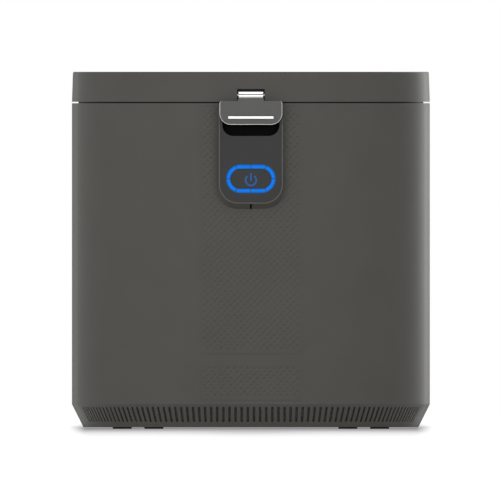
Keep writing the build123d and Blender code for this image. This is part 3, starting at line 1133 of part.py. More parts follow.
def make_fan():
    half = FAN_SIZE / 2
    frame = block((-half, half), (FAN_FRONT, INSIDE_REAR), (FAN_Z - half, FAN_Z + half))
    frame -= rod_y(FAN_BORE, 0, (FAN_FRONT, INSIDE_REAR), FAN_Z)
    strut = (INSIDE_REAR - FAN_STRUT, INSIDE_REAR)
    for turn in range(4):
        arm = block((0, FAN_BORE + OVER), strut, (-FAN_STRUT / 2, FAN_STRUT / 2))
        frame += Pos(0, 0, FAN_Z) * Rot(0, 45 + 90 * turn, 0) * arm
    frame += rod_y(FAN_HUB, 0, strut, FAN_Z)
    pin_front = FAN_FRONT + FAN_PIN_START
    frame += rod_y(FAN_PIN, 0, (pin_front, INSIDE_REAR), FAN_Z)

    hub_y = (FAN_FRONT + FAN_HUB_SETBACK, strut[0] - FAN_HUB_GAP)
    middle = Pos(0, (hub_y[0] + hub_y[1]) / 2, FAN_Z)
    impeller = rod_y(FAN_HUB, 0, hub_y, FAN_Z)
    reach = FAN_BORE - FAN_TIP_GAP
    root = FAN_HUB - BLADE_ROOT
    blade = Box(BLADE_THICKNESS, BLADE_CHORD, reach - root, align=(Align.CENTER, Align.CENTER, Align.MIN))
    blade = Pos(0, 0, root) * Rot(0, 0, BLADE_TURN) * blade
    for index in range(FAN_BLADES):
        impeller += middle * Rot(0, 360 * index / FAN_BLADES, 0) * blade
    impeller &= rod_y(reach, 0, hub_y, FAN_Z)
    impeller -= rod_y(FAN_PIN + RUN, 0, (pin_front - FAN_HUB_GAP, INSIDE_REAR), FAN_Z)

    duct_half = half + DUCT_WALL
    duct_front = BAY_FRONT + DUCT_SETBACK
    top = BAY_LOW - DUCT_WALL
    low = FAN_Z - half - DUCT_WALL
    duct = block((-duct_half, duct_half), (duct_front, FAN_FRONT), (low, top))
    duct -= block((-half, half), (duct_front + DUCT_WALL, FAN_FRONT - DUCT_WALL), (low + DUCT_WALL, top))
    duct -= rod_y(FAN_BORE, 0, (FAN_FRONT - DUCT_WALL, FAN_FRONT), FAN_Z)

    size = GRILLE_SIZE / 2 - FIT
    grille = block((-size, size), (INSIDE_REAR, REAR_Y), (FAN_Z - size, FAN_Z + size))
    room = 2 * (size - GRILLE_MARGIN)
    count = int((room - GRILLE_SLOT) // GRILLE_PITCH) + 1
    for index in range(count):
        z = FAN_Z + (index - (count - 1) / 2) * GRILLE_PITCH
        grille -= block((-size + GRILLE_MARGIN, size - GRILLE_MARGIN), (INSIDE_REAR, REAR_Y),
                        (z - GRILLE_SLOT / 2, z + GRILLE_SLOT / 2))
    return {"fan_housing": frame, "fan_impeller": impeller, "fan_duct": duct, "rear_grille": grille}


# ---- Electrics -------------------------------------------------------------------------------
def make_electrics():
    board_z = PAN_TOP + STANDOFF
    board_top = board_z + BOARD_THICKNESS
    left = POWER_BOARD_X - POWER_BOARD_WIDTH / 2
    front = POWER_BOARD_FRONT
    board = block((left, left + POWER_BOARD_WIDTH), (front, front + POWER_BOARD_LENGTH), (board_z, board_top))
    x = left + TRANSFORMER_X
    y = front + TRANSFORMER_Y
    transformer = block((x, x + TRANSFORMER_WIDTH), (y, y + TRANSFORMER_LENGTH),
                        (board_top, board_top + TRANSFORMER_HEIGHT))
    y = front + RELAY_Y
    relay = block((x, x + RELAY_WIDTH), (y, y + RELAY_LENGTH), (board_top, board_top + RELAY_HEIGHT))
    spots = [(left + CAPACITOR_X, front + CAPACITOR_PITCH * (index + 1)) for index in range(CAPACITOR_COUNT)]
    capacitors = [disc(CAPACITOR_RADIUS, board_top, board_top + CAPACITOR_HEIGHT, spot) for spot in spots]
    parts = group(transformer, relay, *capacitors)

    wide = INLET_WIDTH / 2
    tall = INLET_HEIGHT / 2
    outer = (INLET_Z - tall - WALL, INLET_Z + tall + WALL)
    back = INSIDE_REAR - INLET_DEPTH
    inlet = block((INLET_X - wide - WALL, INLET_X + wide + WALL), (back, INSIDE_REAR), outer)
    ears = wide + WALL + INLET_FLANGE
    inlet += block((INLET_X - ears, INLET_X + ears), (INSIDE_REAR - WALL, INSIDE_REAR), outer)
    inlet -= block((INLET_X - wide, INLET_X + wide), (back + WALL, INSIDE_REAR),
                   (INLET_Z - tall, INLET_Z + tall))
    pins = []
    for place, rise in ((-1, -PIN_DROP), (0, EARTH_RISE), (1, -PIN_DROP)):
        x = INLET_X + place * PIN_PITCH
        z = INLET_Z + rise
        across = (x - PIN_WIDTH / 2, x + PIN_WIDTH / 2)
        up = (z - PIN_HEIGHT / 2, z + PIN_HEIGHT / 2)
        pins.append(block(across, (back - PIN_TAIL, INSIDE_REAR - PIN_SETBACK), up))
        inlet -= block(across, (back, back + WALL), up)
    return {"power_board": board, "board_components": parts, "mains_inlet": inlet, "inlet_pins": group(*pins)}


# ---- Write one file per sub-part -------------------------------------------------------------
def make_all():
    nodes = {}
    makers = (make_base, make_shell, make_well, make_bucket, make_bail, make_drive, make_gearbox, make_lid,
              make_latch, make_pod, make_filter, make_fan, make_electrics)
    for make in makers:
        nodes.update(make())
    return nodes


os.makedirs("parts", exist_ok=True)
for name, shape in make_all().items():
    export_step(shape, f"parts/{name}.step")
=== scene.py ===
"""Looks of the electric food waste composter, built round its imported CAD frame.

Units are metres, in the row frame: +Z up, +X to the right seen from the front, front at -Y.
Plain names in capitals repeat the sizes of the CAD model that a dressed piece has to meet.
"""

import json
import math

import bpy
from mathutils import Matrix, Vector


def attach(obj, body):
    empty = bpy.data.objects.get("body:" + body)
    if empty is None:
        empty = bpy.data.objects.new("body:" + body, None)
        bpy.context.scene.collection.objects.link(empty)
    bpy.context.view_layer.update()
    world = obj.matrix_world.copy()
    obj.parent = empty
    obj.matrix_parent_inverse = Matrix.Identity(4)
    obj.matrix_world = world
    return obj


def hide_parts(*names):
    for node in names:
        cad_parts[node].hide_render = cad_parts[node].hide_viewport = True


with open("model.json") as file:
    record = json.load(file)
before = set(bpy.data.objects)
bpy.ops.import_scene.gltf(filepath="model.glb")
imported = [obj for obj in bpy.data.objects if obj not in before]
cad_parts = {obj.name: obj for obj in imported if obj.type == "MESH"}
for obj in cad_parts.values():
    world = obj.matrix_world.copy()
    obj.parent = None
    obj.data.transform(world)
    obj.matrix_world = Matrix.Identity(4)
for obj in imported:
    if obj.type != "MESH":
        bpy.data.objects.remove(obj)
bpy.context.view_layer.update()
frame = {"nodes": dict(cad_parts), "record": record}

MM = 0.001
DULL = 0.15                # specular level of the matt plastics in the all-white studio

# ---- Sizes that the dressed pieces share with the CAD model, in millimetres -------------------
FRONT_Y = -137.0           # front face of the housing
CORNER_X = 34.39           # half of the flat front
CORNER_Y = 3.0             # centre of its round front corners
FRONT_RADIUS = 140.0
SHELL_TOP = 325.6
POD_HALF = 32.8
POD_Z = 219.6
POD_RADIUS = 20.0
RECESS_HALF = 28.6
RECESS_Z = 292.8
RECESS_RADIUS = 11.0
RECESS_BACK = -139.0
FACE_FRONT = -146.4
PLATE_HALF = 31.25
PLATE_TOP = 327.9
PLATE_LOW = 304.2
PLATE_RADIUS = 11.0
PLATE_TOP_RADIUS = 2.5
PLATE_FRONT = -150.2       # the latch plate lies between this and PLATE_BACK
PLATE_BACK = -147.4
POD_FRONT = -147.0
POD_DRAFT = 1.0            # the pod's front is this much smaller all round
POD_LOW = 225.3            # lower edge of the pod's front
CHIN_SLOT = 1.0            # half width of the slot in the pod's underside
CHIN_SLOT_HEIGHT = 5.0
KNUCKLE_Y = -132.45        # axis that the latch turns on
KNUCKLE_Z = 333.6


# ---- Node helpers -----------------------------------------------------------------------------
def new_material(name):
    """An empty node material with its shader, and a coordinate node in object space."""
    material = bpy.data.materials.new(name)
    material.use_nodes = True
    nodes = material.node_tree.nodes
    shader = nodes["Principled BSDF"]
    place = nodes.new("ShaderNodeTexCoord")
    return material, shader, place.outputs["Object"]


def noise(material, place, size, detail=3.0, stretch=(1.0, 1.0, 1.0)):
    """Noise whose grains are about size millimetres across, longer along the axes of a low stretch."""
    nodes, links = material.node_tree.nodes, material.node_tree.links
    mapping = nodes.new("ShaderNodeMapping")
    mapping.inputs["Scale"].default_value = stretch
    links.new(place, mapping.inputs["Vector"])
    grain = nodes.new("ShaderNodeTexNoise")
    grain.inputs["Scale"].default_value = 1.0 / (size * MM)
    grain.inputs["Detail"].default_value = detail
    links.new(mapping.outputs["Vector"], grain.inputs["Vector"])
    return grain.outputs["Fac"]


def maths(tree, operation, *values, clamp=False):
    """A math node on sockets and numbers."""
    node = tree.nodes.new("ShaderNodeMath")
    node.operation = operation
    node.use_clamp = clamp
    for socket, value in zip(node.inputs, values):
        if isinstance(value, (int, float)):
            socket.default_value = value
        else:
            tree.links.new(value, socket)
    return node.outputs[0]


def map_range(tree, value, start, end, low, high):
    """Maps start to end onto low to high, and holds the ends."""
    node = tree.nodes.new("ShaderNodeMapRange")
    for name, level in (("From Min", start), ("From Max", end), ("To Min", low), ("To Max", high)):
        node.inputs[name].default_value = level
    tree.links.new(value, node.inputs["Value"])
    return node.outputs["Result"]


def split_axes(tree, place):
    """The x, y and z of a coordinate."""
    axes = tree.nodes.new("ShaderNodeSeparateXYZ")
    tree.links.new(place, axes.inputs[0])
    return axes.outputs


def spread(material, value, low, high):
    """Maps the middle of a noise onto a range."""
    return map_range(material.node_tree, value, 0.3, 0.7, low, high)


def shade(material, value, colour, variation):
    """A colour that runs from a little darker to a little lighter with a noise."""
    ramp = material.node_tree.nodes.new("ShaderNodeValToRGB")
    ramp.color_ramp.elements[0].position = 0.3
    ramp.color_ramp.elements[1].position = 0.7
    ramp.color_ramp.elements[0].color = [c * (1 - variation) for c in colour] + [1]
    ramp.color_ramp.elements[1].color = [min(c * (1 + variation), 1.0) for c in colour] + [1]
    material.node_tree.links.new(value, ramp.inputs["Fac"])
    return ramp.outputs["Color"]


def bump(material, shader, height, depth):
    """A bump of about depth millimetres."""
    node = material.node_tree.nodes.new("ShaderNodeBump")
    node.inputs["Strength"].default_value = 1.0
    node.inputs["Distance"].default_value = depth * MM
    material.node_tree.links.new(height, node.inputs["Height"])
    material.node_tree.links.new(node.outputs["Normal"], shader.inputs["Normal"])


def plastic(name, colour, roughness, grain=0.5, depth=0.01, variation=0.05, specular=DULL, bright=None):
    """Moulded plastic: a fine spark-eroded grain, slightly uneven in tone and gloss."""
    material, shader, place = new_material(name)
    links = material.node_tree.links
    fine = noise(material, place, grain, 4.0)
    broad = noise(material, place, 40.0, 2.0)
    links.new(shade(material, broad, colour, variation), shader.inputs["Base Color"])
    links.new(spread(material, fine, roughness - 0.04, roughness + 0.04), shader.inputs["Roughness"])
    shader.inputs["Specular IOR Level"].default_value = specular
    bump(material, shader, fine, depth)
    if bright:
        accent(material, shader, place, *bright)
    return material


def metal(name, colour, roughness, stretch=(1.0, 1.0, 1.0), grain=0.6, depth=0.004, variation=0.08):
    """Metal: fine machining or brushing lines along the axes with a low stretch."""
    material, shader, place = new_material(name)
    links = material.node_tree.links
    fine = noise(material, place, grain, 3.0, stretch)
    broad = noise(material, place, 25.0, 3.0)
    links.new(shade(material, broad, colour, variation), shader.inputs["Base Color"])
    links.new(spread(material, fine, roughness - 0.05, roughness + 0.08), shader.inputs["Roughness"])
    shader.inputs["Metallic"].default_value = 1.0
    bump(material, shader, fine, depth)
    return material


def glowing(name, colour, glow, strength, ring=None):
    """A lit light guide: a coloured lens, a little brighter in patches and dimmer at its edges."""
    material, shader, place = new_material(name)
    links = material.node_tree.links
    soft = noise(material, place, 6.0, 1.0)
    links.new(shade(material, soft, colour, 0.04), shader.inputs["Base Color"])
    links.new(spread(material, soft, 0.32, 0.38), shader.inputs["Roughness"])
    shader.inputs["Specular IOR Level"].default_value = 0.02
    shader.inputs["Emission Color"].default_value = (*glow, 1)
    shader.inputs["Emission Strength"].default_value = strength
    if ring:
        level = maths(material.node_tree, "MULTIPLY", off_centre(material, place, *ring), strength)
        links.new(level, shader.inputs["Emission Strength"])
    return material


def off_centre(material, place, straight, radius, height, bright, dim, least):
    """Falls from 1 near a ring's centre line to the least further off; the ring is a stadium."""
    tree = material.node_tree
    x, _, z = split_axes(tree, place)
    along = maths(tree, "MAXIMUM", maths(tree, "SUBTRACT", maths(tree, "ABSOLUTE", x), straight * MM), 0.0)
    up = maths(tree, "SUBTRACT", z, height * MM)
    squares = maths(tree, "ADD", maths(tree, "MULTIPLY", along, along), maths(tree, "MULTIPLY", up, up))
    off = maths(tree, "ABSOLUTE", maths(tree, "SUBTRACT", maths(tree, "SQRT", squares), radius * MM))
    return map_range(tree, off, bright * MM, dim * MM, 1.0, least)


def accent(material, shader, place, middle, half, colour):
    """Turns the part of a material inside a box, in millimetres, into a bright satin metal."""
    tree = material.node_tree
    near = [maths(tree, "COMPARE", axis, centre * MM, reach * MM)
            for axis, centre, reach in zip(split_axes(tree, place), middle, half)]
    inside = maths(tree, "MULTIPLY", maths(tree, "MULTIPLY", near[0], near[1]), near[2])
    tree.links.new(inside, shader.inputs["Metallic"])
    tint = tree.nodes.new("ShaderNodeMix")
    tint.data_type = "RGBA"
    tree.links.new(inside, tint.inputs["Factor"])
    tree.links.new(shader.inputs["Base Color"].links[0].from_socket, tint.inputs[6])
    tint.inputs[7].default_value = (*colour, 1)
    tree.links.new(tint.outputs[2], shader.inputs["Base Color"])


def fabric(name, colour, grain, depth):
    """Felt or granules: matte, with a coarse broken surface."""
    material, shader, place = new_material(name)
    links = material.node_tree.links
    cells = material.node_tree.nodes.new("ShaderNodeTexVoronoi")
    cells.inputs["Scale"].default_value = 1.0 / (grain * MM)
    links.new(place, cells.inputs["Vector"])
    rough = noise(material, place, grain * 3, 4.0)
    links.new(shade(material, rough, colour, 0.25), shader.inputs["Base Color"])
    links.new(spread(material, rough, 0.85, 0.95), shader.inputs["Roughness"])
    shader.inputs["Specular IOR Level"].default_value = DULL
    bump(material, shader, cells.outputs["Distance"], depth)
    return material


# Middle, half size and colour of the bright rib across the latch.
RIB = ((0.0, -151.0, 311.3), (22.55, 0.55, 1.1), (0.72, 0.72, 0.72))
# Half length of the lit ring's straight runs, its radius and height; where it starts and stops to
# dim off its centre line, and how far.
RING = (10.55, 11.9, 250.0, 0.2, 2.2, 0.2)

HOUSING = plastic("housing_grey", (0.080, 0.0778, 0.0708), 0.60, grain=0.35, depth=0.004, variation=0.03)
FACE = plastic("face_dark", (0.037, 0.037, 0.0367), 0.50, grain=0.3, depth=0.003, variation=0.03)
BLACK = plastic("black_plastic", (0.022, 0.022, 0.022), 0.55, grain=0.8, depth=0.012, variation=0.12)
# Near-black for sheets and parts that stand where there is only shade: painted shade.
PAINTED_SHADE = plastic("painted_shade_black", (0.003, 0.003, 0.003), 0.7, grain=0.5, depth=0.006, variation=0.1,
                 specular=0.03)
# Grey felt for the screen behind the air slots, pale enough to paint light into the slots.
SLOT_LIGHT_FELT = fabric("air_screen_felt_painted_light", (0.07, 0.07, 0.068), 0.9, 0.1)
# Paler and glossier than the housing: a painted highlight along the pod's front edge.
BEAD_HIGHLIGHT = plastic("housing_edge_painted_highlight", (0.12, 0.118, 0.11), 0.35, grain=0.35, depth=0.002, variation=0.03)
RUBBER = plastic("rubber", (0.018, 0.018, 0.018), 0.8, grain=1.0, depth=0.03, variation=0.15)
SILICONE = plastic("silicone", (0.02, 0.02, 0.02), 0.6, grain=1.2, depth=0.01, variation=0.06)
LATCH = plastic("latch_grey", (0.105, 0.1055, 0.101), 0.45, grain=0.4, depth=0.003, variation=0.03,
                bright=RIB)
CHROME = metal("chrome", (0.86, 0.86, 0.87), 0.10, grain=2.0, depth=0.0005, variation=0.02)
POLISHED = metal("polished_edge", (0.50, 0.50, 0.50), 0.25, grain=1.0, depth=0.0005, variation=0.02)
# Darker brushed metal for the knuckle bar's grooves: painted shade in them.
GROOVE_SHADE = metal("brushed_groove_painted_shade", (0.30, 0.30, 0.30), 0.35, stretch=(0.1, 1.0, 1.0), grain=0.4)
STEEL = metal("steel", (0.46, 0.46, 0.46), 0.35, stretch=(0.2, 1.0, 1.0))
GEAR = metal("gear_steel", (0.36, 0.36, 0.37), 0.38)
WELL = metal("well_aluminium", (0.56, 0.56, 0.56), 0.42, stretch=(1.0, 1.0, 0.15))
COATING = plastic("bucket_coating", (0.05, 0.05, 0.052), 0.35, grain=1.5, depth=0.01, variation=0.1)
CAST = metal("cast_aluminium", (0.50, 0.50, 0.50), 0.48, grain=1.6, depth=0.03, variation=0.12)
BRONZE = metal("bronze", (0.50, 0.30, 0.12), 0.40, variation=0.15)
GEARBOX = metal("gearbox_casting", (0.40, 0.40, 0.40), 0.55, grain=2.2, depth=0.05, variation=0.1)
MOTOR = metal("motor_case", (0.30, 0.30, 0.30), 0.40, stretch=(1.0, 1.0, 0.2))
FELT = fabric("insulation_felt", (0.60, 0.55, 0.42), 1.2, 0.5)
CARBON = fabric("carbon_granules", (0.015, 0.015, 0.015), 2.5, 1.2)
BOARD = plastic("circuit_board", (0.02, 0.12, 0.04), 0.35, grain=3.0, depth=0.02, variation=0.2)
PINS = metal("contact_pins", (0.60, 0.45, 0.20), 0.30)
MAGNET = metal("magnet", (0.25, 0.25, 0.25), 0.30)
LIGHT = glowing("light_blue", (0.002, 0.10, 0.42), (0.007, 0.145, 0.62), 0.85, ring=RING)
SYMBOL = glowing("symbol_blue", (0.015, 0.05, 0.16), (0.022, 0.11, 0.36), 0.62)

FINISH = {
    "housing_grey": HOUSING, "face_dark": FACE, "light_blue": LIGHT, "symbol_blue": SYMBOL,
    "latch_grey": LATCH, "chrome": CHROME, "steel": STEEL, "gear_steel": GEAR, "black_plastic": BLACK,
    "rubber": RUBBER, "silicone": SILICONE, "well_metal": WELL, "bucket_coating": COATING,
    "cast_metal": CAST, "bronze": BRONZE, "gearbox_metal": GEARBOX, "motor_case": MOTOR,
    "insulation": FELT, "carbon": CARBON, "circuit_board": BOARD, "contact_pins": PINS, "magnet": MAGNET,
}
for part in frame["record"]["subparts"]:
    node = frame["nodes"][part["node"]]
    # The latch catch takes the near-black too: painted shade in the recess.
    finish = PAINTED_SHADE if part["node"] == "latch_catch" else FINISH[part["material_slot"]]
    for material_slot in node.material_slots:
        material_slot.material = finish


# ---- Mesh helpers -----------------------------------------------------------------------------
def mesh_object(name, points, faces, finish, body):
    """A mesh from points in millimetres, which rides on a body."""
    mesh = bpy.data.meshes.new(name)
    mesh.from_pydata([[c * MM for c in point] for point in points], [], faces)
    mesh.validate()
    mesh.update()
    piece = bpy.data.objects.new(name, mesh)
    bpy.context.scene.collection.objects.link(piece)
    piece.data.materials.append(finish)
    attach(piece, body)
    return piece


def thicken(piece, thickness):
    """Gives a skin its thickness, behind its front."""
    skin = piece.modifiers.new("thickness", "SOLIDIFY")
    skin.thickness = thickness * MM
    skin.offset = -1.0


def arc(centre, radius, start, turn, steps=12):
    """Points on an arc, in order, with its start and its turn in degrees."""
    turns = [math.radians(start + turn * step / steps) for step in range(steps + 1)]
    return [(centre[0] + radius * math.cos(t), centre[1] + radius * math.sin(t)) for t in turns]


def rounded_plate(half, low, high, low_radius, high_radius):
    """Outline of a plate, anticlockwise seen from the front, from its top left corner down."""
    points = arc((-half + high_radius, high - high_radius), high_radius, 90, 90, 4)
    points += arc((-half + low_radius, low + low_radius), low_radius, 180, 90)
    points += arc((half - low_radius, low + low_radius), low_radius, 270, 90)
    points += arc((half - high_radius, high - high_radius), high_radius, 0, 90, 4)
    return points


def slab(outline, front, back):
    """Points and faces of a flat drawing with depth, front face first."""
    count = len(outline)
    points = [(x, front, z) for x, z in outline] + [(x, back, z) for x, z in outline]
    faces = [list(range(count)), list(range(2 * count - 1, count - 1, -1))]
    faces += [[i, count + i, count + (i + 1) % count, (i + 1) % count] for i in range(count)]
    return points, faces


def sweep(outlines, closed):
    """A band through matching outlines of (x, y, z) points, which follow each other round its section."""
    count, turns = len(outlines[0]), len(outlines)
    points = [point for outline in outlines for point in outline]
    faces = []
    for t in range(turns):
        after = (t + 1) % turns
        for i in range(count if closed else count - 1):
            n = (i + 1) % count
            faces.append([t * count + i, after * count + i, after * count + n, t * count + n])
    if not closed:
        faces.append([t * count for t in range(turns)][::-1])
        faces.append([t * count + count - 1 for t in range(turns)])
    return points, faces


# ---- Relief band on the front -----------------------------------------------------------------
RELIEF_HALF = 49.7         # along the outline
RELIEF_COLUMNS = 30        # half diamonds across
RELIEF_STEP = 2 * RELIEF_HALF / RELIEF_COLUMNS
RELIEF_HEIGHT = 0.5
RELIEF_THICK = 0.6         # so that the skin's back is sunk in the housing's wall
POD_COVERS_X = 3.0         # the relief runs this far under the pod's sides
POD_COVERS_Z = 6.0         # and this far under its lower edge
NOTCH_WIDE = 0.24          # notch inside the top of each diamond, in half diamonds
NOTCH_LEFT = 0.64          # reach of its long leg
NOTCH_RIGHT = 0.70         # reach of its short leg
NOTCH_DEEP = 0.43          # at the diamond's top corner
NOTCH_END = 0.10           # at the end of its long leg


def on_front(along, z, proud):
    """A point on the housing's front, at a distance along its outline from the middle."""
    past = max(abs(along) - CORNER_X, 0.0)
    if past == 0:
        return (along, FRONT_Y - proud, z)
    turn = past / FRONT_RADIUS
    reach = FRONT_RADIUS + proud
    x = CORNER_X + reach * math.sin(turn)
    return (math.copysign(x, along), CORNER_Y - reach * math.cos(turn), z)


def under_pod(along, z):
    """True where the control pod covers the housing."""
    return abs(along) < POD_HALF - POD_COVERS_X and z > POD_Z + POD_COVERS_Z


def relief(name, low, rows, step):
    """Flat diamonds, each with a shallow notch under its two upper edges, longer on the left."""
    points, faces, index = [], [], {}

    def place(i, j, proud):
        return on_front(-RELIEF_HALF + i * RELIEF_STEP, low + j * step, proud)

    def corner(i, j):
        if (i, j) not in index:
            index[i, j] = len(points)
            points.append(place(i, j, RELIEF_HEIGHT))
        return index[i, j]

    for i in range(RELIEF_COLUMNS + 1):
        for j in range(rows + 1):
            if (i + j) % 2 == 0 or under_pod(-RELIEF_HALF + i * RELIEF_STEP, low + j * step):
                continue
            ring = [(i, j + 1), (i - 1, j), (i, j - 1), (i + 1, j)]
            if i in (0, RELIEF_COLUMNS) or j in (0, rows):
                faces.append([corner(a, b) for a, b in ring if 0 <= a <= RELIEF_COLUMNS and 0 <= b <= rows])
                continue
            top, left, bottom, right = [corner(a, b) for a, b in ring]
            deep, end, inner, inner_end, tip = range(len(points), len(points) + 5)
            points.append(place(i, j + 1 - NOTCH_WIDE, RELIEF_HEIGHT - NOTCH_DEEP))
            points.append(place(i - NOTCH_LEFT + NOTCH_WIDE / 2, j + 1 - NOTCH_LEFT - NOTCH_WIDE / 2,
                                RELIEF_HEIGHT - NOTCH_END))
            points.append(place(i, j + 1 - 2 * NOTCH_WIDE, RELIEF_HEIGHT))
            points.append(place(i - NOTCH_LEFT + NOTCH_WIDE, j + 1 - NOTCH_LEFT - NOTCH_WIDE, RELIEF_HEIGHT))
            points.append(place(i + NOTCH_RIGHT, j + 1 - NOTCH_RIGHT, RELIEF_HEIGHT))
            faces += [[top, left, end, deep], [left, inner_end, end], [deep, end, inner_end, inner],
                      [top, deep, tip], [deep, inner, tip], [left, bottom, right, tip, inner, inner_end]]
    thicken(mesh_object(name, points, faces, HOUSING, "housing"), RELIEF_THICK)


relief("relief_upper", 75.3, 74, 3.35)
relief("relief_lower", 28.7, 10, 3.33)

# ---- Screen behind the air slots, grey to paint light into them -------------------------------
SCREEN_TURN = 84.0         # degrees of each front corner that it follows
SCREEN_LOW = 6.6
SCREEN_HIGH = 22.6
SKIRT_TOP = 24.6
SKIRT_SLOPE = 0.5          # the skirt draws in by this much for each millimetre down
SCREEN_SET = 2.65          # behind the skirt's outside
SCREEN_THICK = 0.3
SCREEN_STEPS = 60


def screen_row(z):
    """Points behind the skirt at one height, from one end of the slots to the other."""
    reach = CORNER_X + math.radians(SCREEN_TURN) * FRONT_RADIUS
    turns = [2 * step / SCREEN_STEPS - 1 for step in range(SCREEN_STEPS + 1)]
    return [on_front(reach * turn, z, -SKIRT_SLOPE * (SKIRT_TOP - z) - SCREEN_SET) for turn in turns]


points = screen_row(SCREEN_LOW) + screen_row(SCREEN_HIGH)
row = SCREEN_STEPS + 1
faces = [[i, i + 1, row + i + 1, row + i] for i in range(SCREEN_STEPS)]
air_screen = mesh_object("air_screen", points, faces, SLOT_LIGHT_FELT, "housing")
thicken(air_screen, SCREEN_THICK)

# ---- Latch ------------------------------------------------------------------------------------
RIM_OUT = 0.02             # polished edge proud of the plate's side
RIM_IN = 0.42              # and over its front
RIM_RIDGE = 0.2            # its ridge stands this far in
RIM_PROUD = 0.16           # and this far over the plate
RIM_EDGE = 0.05            # height of its inner edge over the plate
RIM_DEPTH = 1.0            # its back stands this far in front of the plate's back


def plate_edge(inset, y):
    """The latch plate's outline, drawn in by an inset, at a depth."""
    edge = rounded_plate(PLATE_HALF - inset, PLATE_LOW + inset, PLATE_TOP, PLATE_RADIUS - inset,
                         PLATE_TOP_RADIUS)
    return [(x, y, z) for x, z in edge]


section = [(-RIM_OUT, PLATE_BACK - RIM_DEPTH), (-RIM_OUT, PLATE_FRONT),
           (RIM_RIDGE, PLATE_FRONT - RIM_PROUD),
           (RIM_IN, PLATE_FRONT - RIM_EDGE), (RIM_IN, PLATE_BACK - RIM_DEPTH)]
points, faces = sweep([plate_edge(inset, y) for inset, y in section], closed=False)
mesh_object("latch_polished_edge", points, faces, POLISHED, "latch")

BAR_HALF = 12.4
BAR_BEVEL = 0.3            # length of the bevel at each end
BAR_END = 0.92             # share of the section that is left at the ends
BAR_SECTION = [(-1.6, 3.3), (-2.3, 3.15), (-2.3, 1.75), (-1.7, 1.4), (-2.5, 0.1), (-2.6, -0.1),
               (-2.6, -1.1), (-2.0, -1.5), (-2.5, -2.9), (-1.6, -3.3)]
BAR_BACK = 3.3             # round back of the knuckle
BAR_SHADED_FACES = (2, 3, 4, 6, 7, 8)     # faces of the section in its grooves, brushed and darker than the polish: painted shade

section = BAR_SECTION + [(-y, -z) for y, z in arc((0, 0), BAR_BACK, 115, 190, 14)]
stations = [(-BAR_HALF, BAR_END), (BAR_BEVEL - BAR_HALF, 1.0),
            (BAR_HALF - BAR_BEVEL, 1.0), (BAR_HALF, BAR_END)]
lines = [[(x, KNUCKLE_Y + y * share, KNUCKLE_Z + z * share) for x, share in stations] for y, z in section]
points, faces = sweep(lines, closed=False)
bar = mesh_object("latch_bar", points, faces, CHROME, "latch")
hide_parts("latch_knuckle")
bar.data.materials.append(GROOVE_SHADE)
for polygon in bar.data.polygons:
    if polygon.index // (len(stations) - 1) in BAR_SHADED_FACES:
        polygon.material_index = 1

# ---- Control pod ------------------------------------------------------------------------------
POD_TOP = 304.0
BEAD = 0.75                # width of the fine bead round the pod's front
BEAD_INSET = 0.12
BEAD_RISE = 0.18           # its crest over the pod's front
BEAD_SHOULDER = 0.06
BEAD_SINK = 0.2
LINING = 0.25              # wall of the black sheet in the finger recess, which paints its shade
LINING_GAP = 0.1           # between its edges and the housing's surfaces
RECESS_TOP_RADII = (0.5, 0.4)        # small corners at its top, outside and inside
CHIN_FOOT = 0.3            # the black block that paints the slot's shade starts this far above the pod's underside
CHIN_FLOOR = 0.6           # and stands this far off the housing


def pod_edge(inset, y):
    """The outline of the pod's front, drawn in by an inset, at a depth."""
    edge = rounded_plate(POD_HALF - POD_DRAFT - inset, POD_LOW + inset, POD_TOP,
                         POD_RADIUS - POD_DRAFT - inset, 0.5)
    return [(x, y, z) for x, z in edge]


def recess_edge(inset, y):
    """The recess's outline, drawn in by an inset, at a depth."""
    edge = rounded_plate(RECESS_HALF - inset, RECESS_Z + inset, SHELL_TOP - LINING_GAP - inset,
                         RECESS_RADIUS - inset, RECESS_TOP_RADII[1 if inset else 0])
    return [(x, y, z) for x, z in edge]


# A fine bead round the pod's front, paler than the housing: a painted highlight line.
section = [(BEAD_INSET, POD_FRONT + BEAD_SINK), (BEAD_INSET, POD_FRONT - BEAD_SHOULDER),
           (BEAD_INSET + BEAD / 2, POD_FRONT - BEAD_RISE),
           (BEAD_INSET + BEAD, POD_FRONT - BEAD_SHOULDER), (BEAD_INSET + BEAD, POD_FRONT + BEAD_SINK)]
points, faces = sweep([pod_edge(inset, y) for inset, y in section], closed=False)
mesh_object("pod_bead_highlight", points, faces, BEAD_HIGHLIGHT, "housing")

# A black sheet inside the finger recess: painted shade.
loops = [recess_edge(0, FACE_FRONT + LINING_GAP), recess_edge(LINING, FACE_FRONT + LINING_GAP),
         recess_edge(LINING, RECESS_BACK - LINING), recess_edge(0, RECESS_BACK + LINING_GAP)]
points, faces = sweep(loops, closed=True)
count = len(loops[0])
faces.append(list(range(2 * count, 3 * count)))
faces.append(list(range(4 * count - 1, 3 * count - 1, -1)))
mesh_object("recess_painted_shade", points, faces, PAINTED_SHADE, "housing")

# A black block at the back of the slot in the pod's underside: painted shade.
slot = [(-CHIN_SLOT, POD_Z + CHIN_FOOT), (CHIN_SLOT, POD_Z + CHIN_FOOT),
        (CHIN_SLOT, POD_Z + CHIN_SLOT_HEIGHT), (-CHIN_SLOT, POD_Z + CHIN_SLOT_HEIGHT)]
points, faces = slab(slot, RECESS_BACK - CHIN_FLOOR, RECESS_BACK + LINING_GAP)
mesh_object("chin_slot_painted_shade", points, faces, PAINTED_SHADE, "housing")

# ---- Studio -----------------------------------------------------------------------------------
PICTURE_WIDTH = 0.5        # metres across the picture
PICTURE_MIDDLE = (-0.0009, 0.0, 0.1788)        # the point that the camera looks at
CAMERA_DISTANCE = 8.0

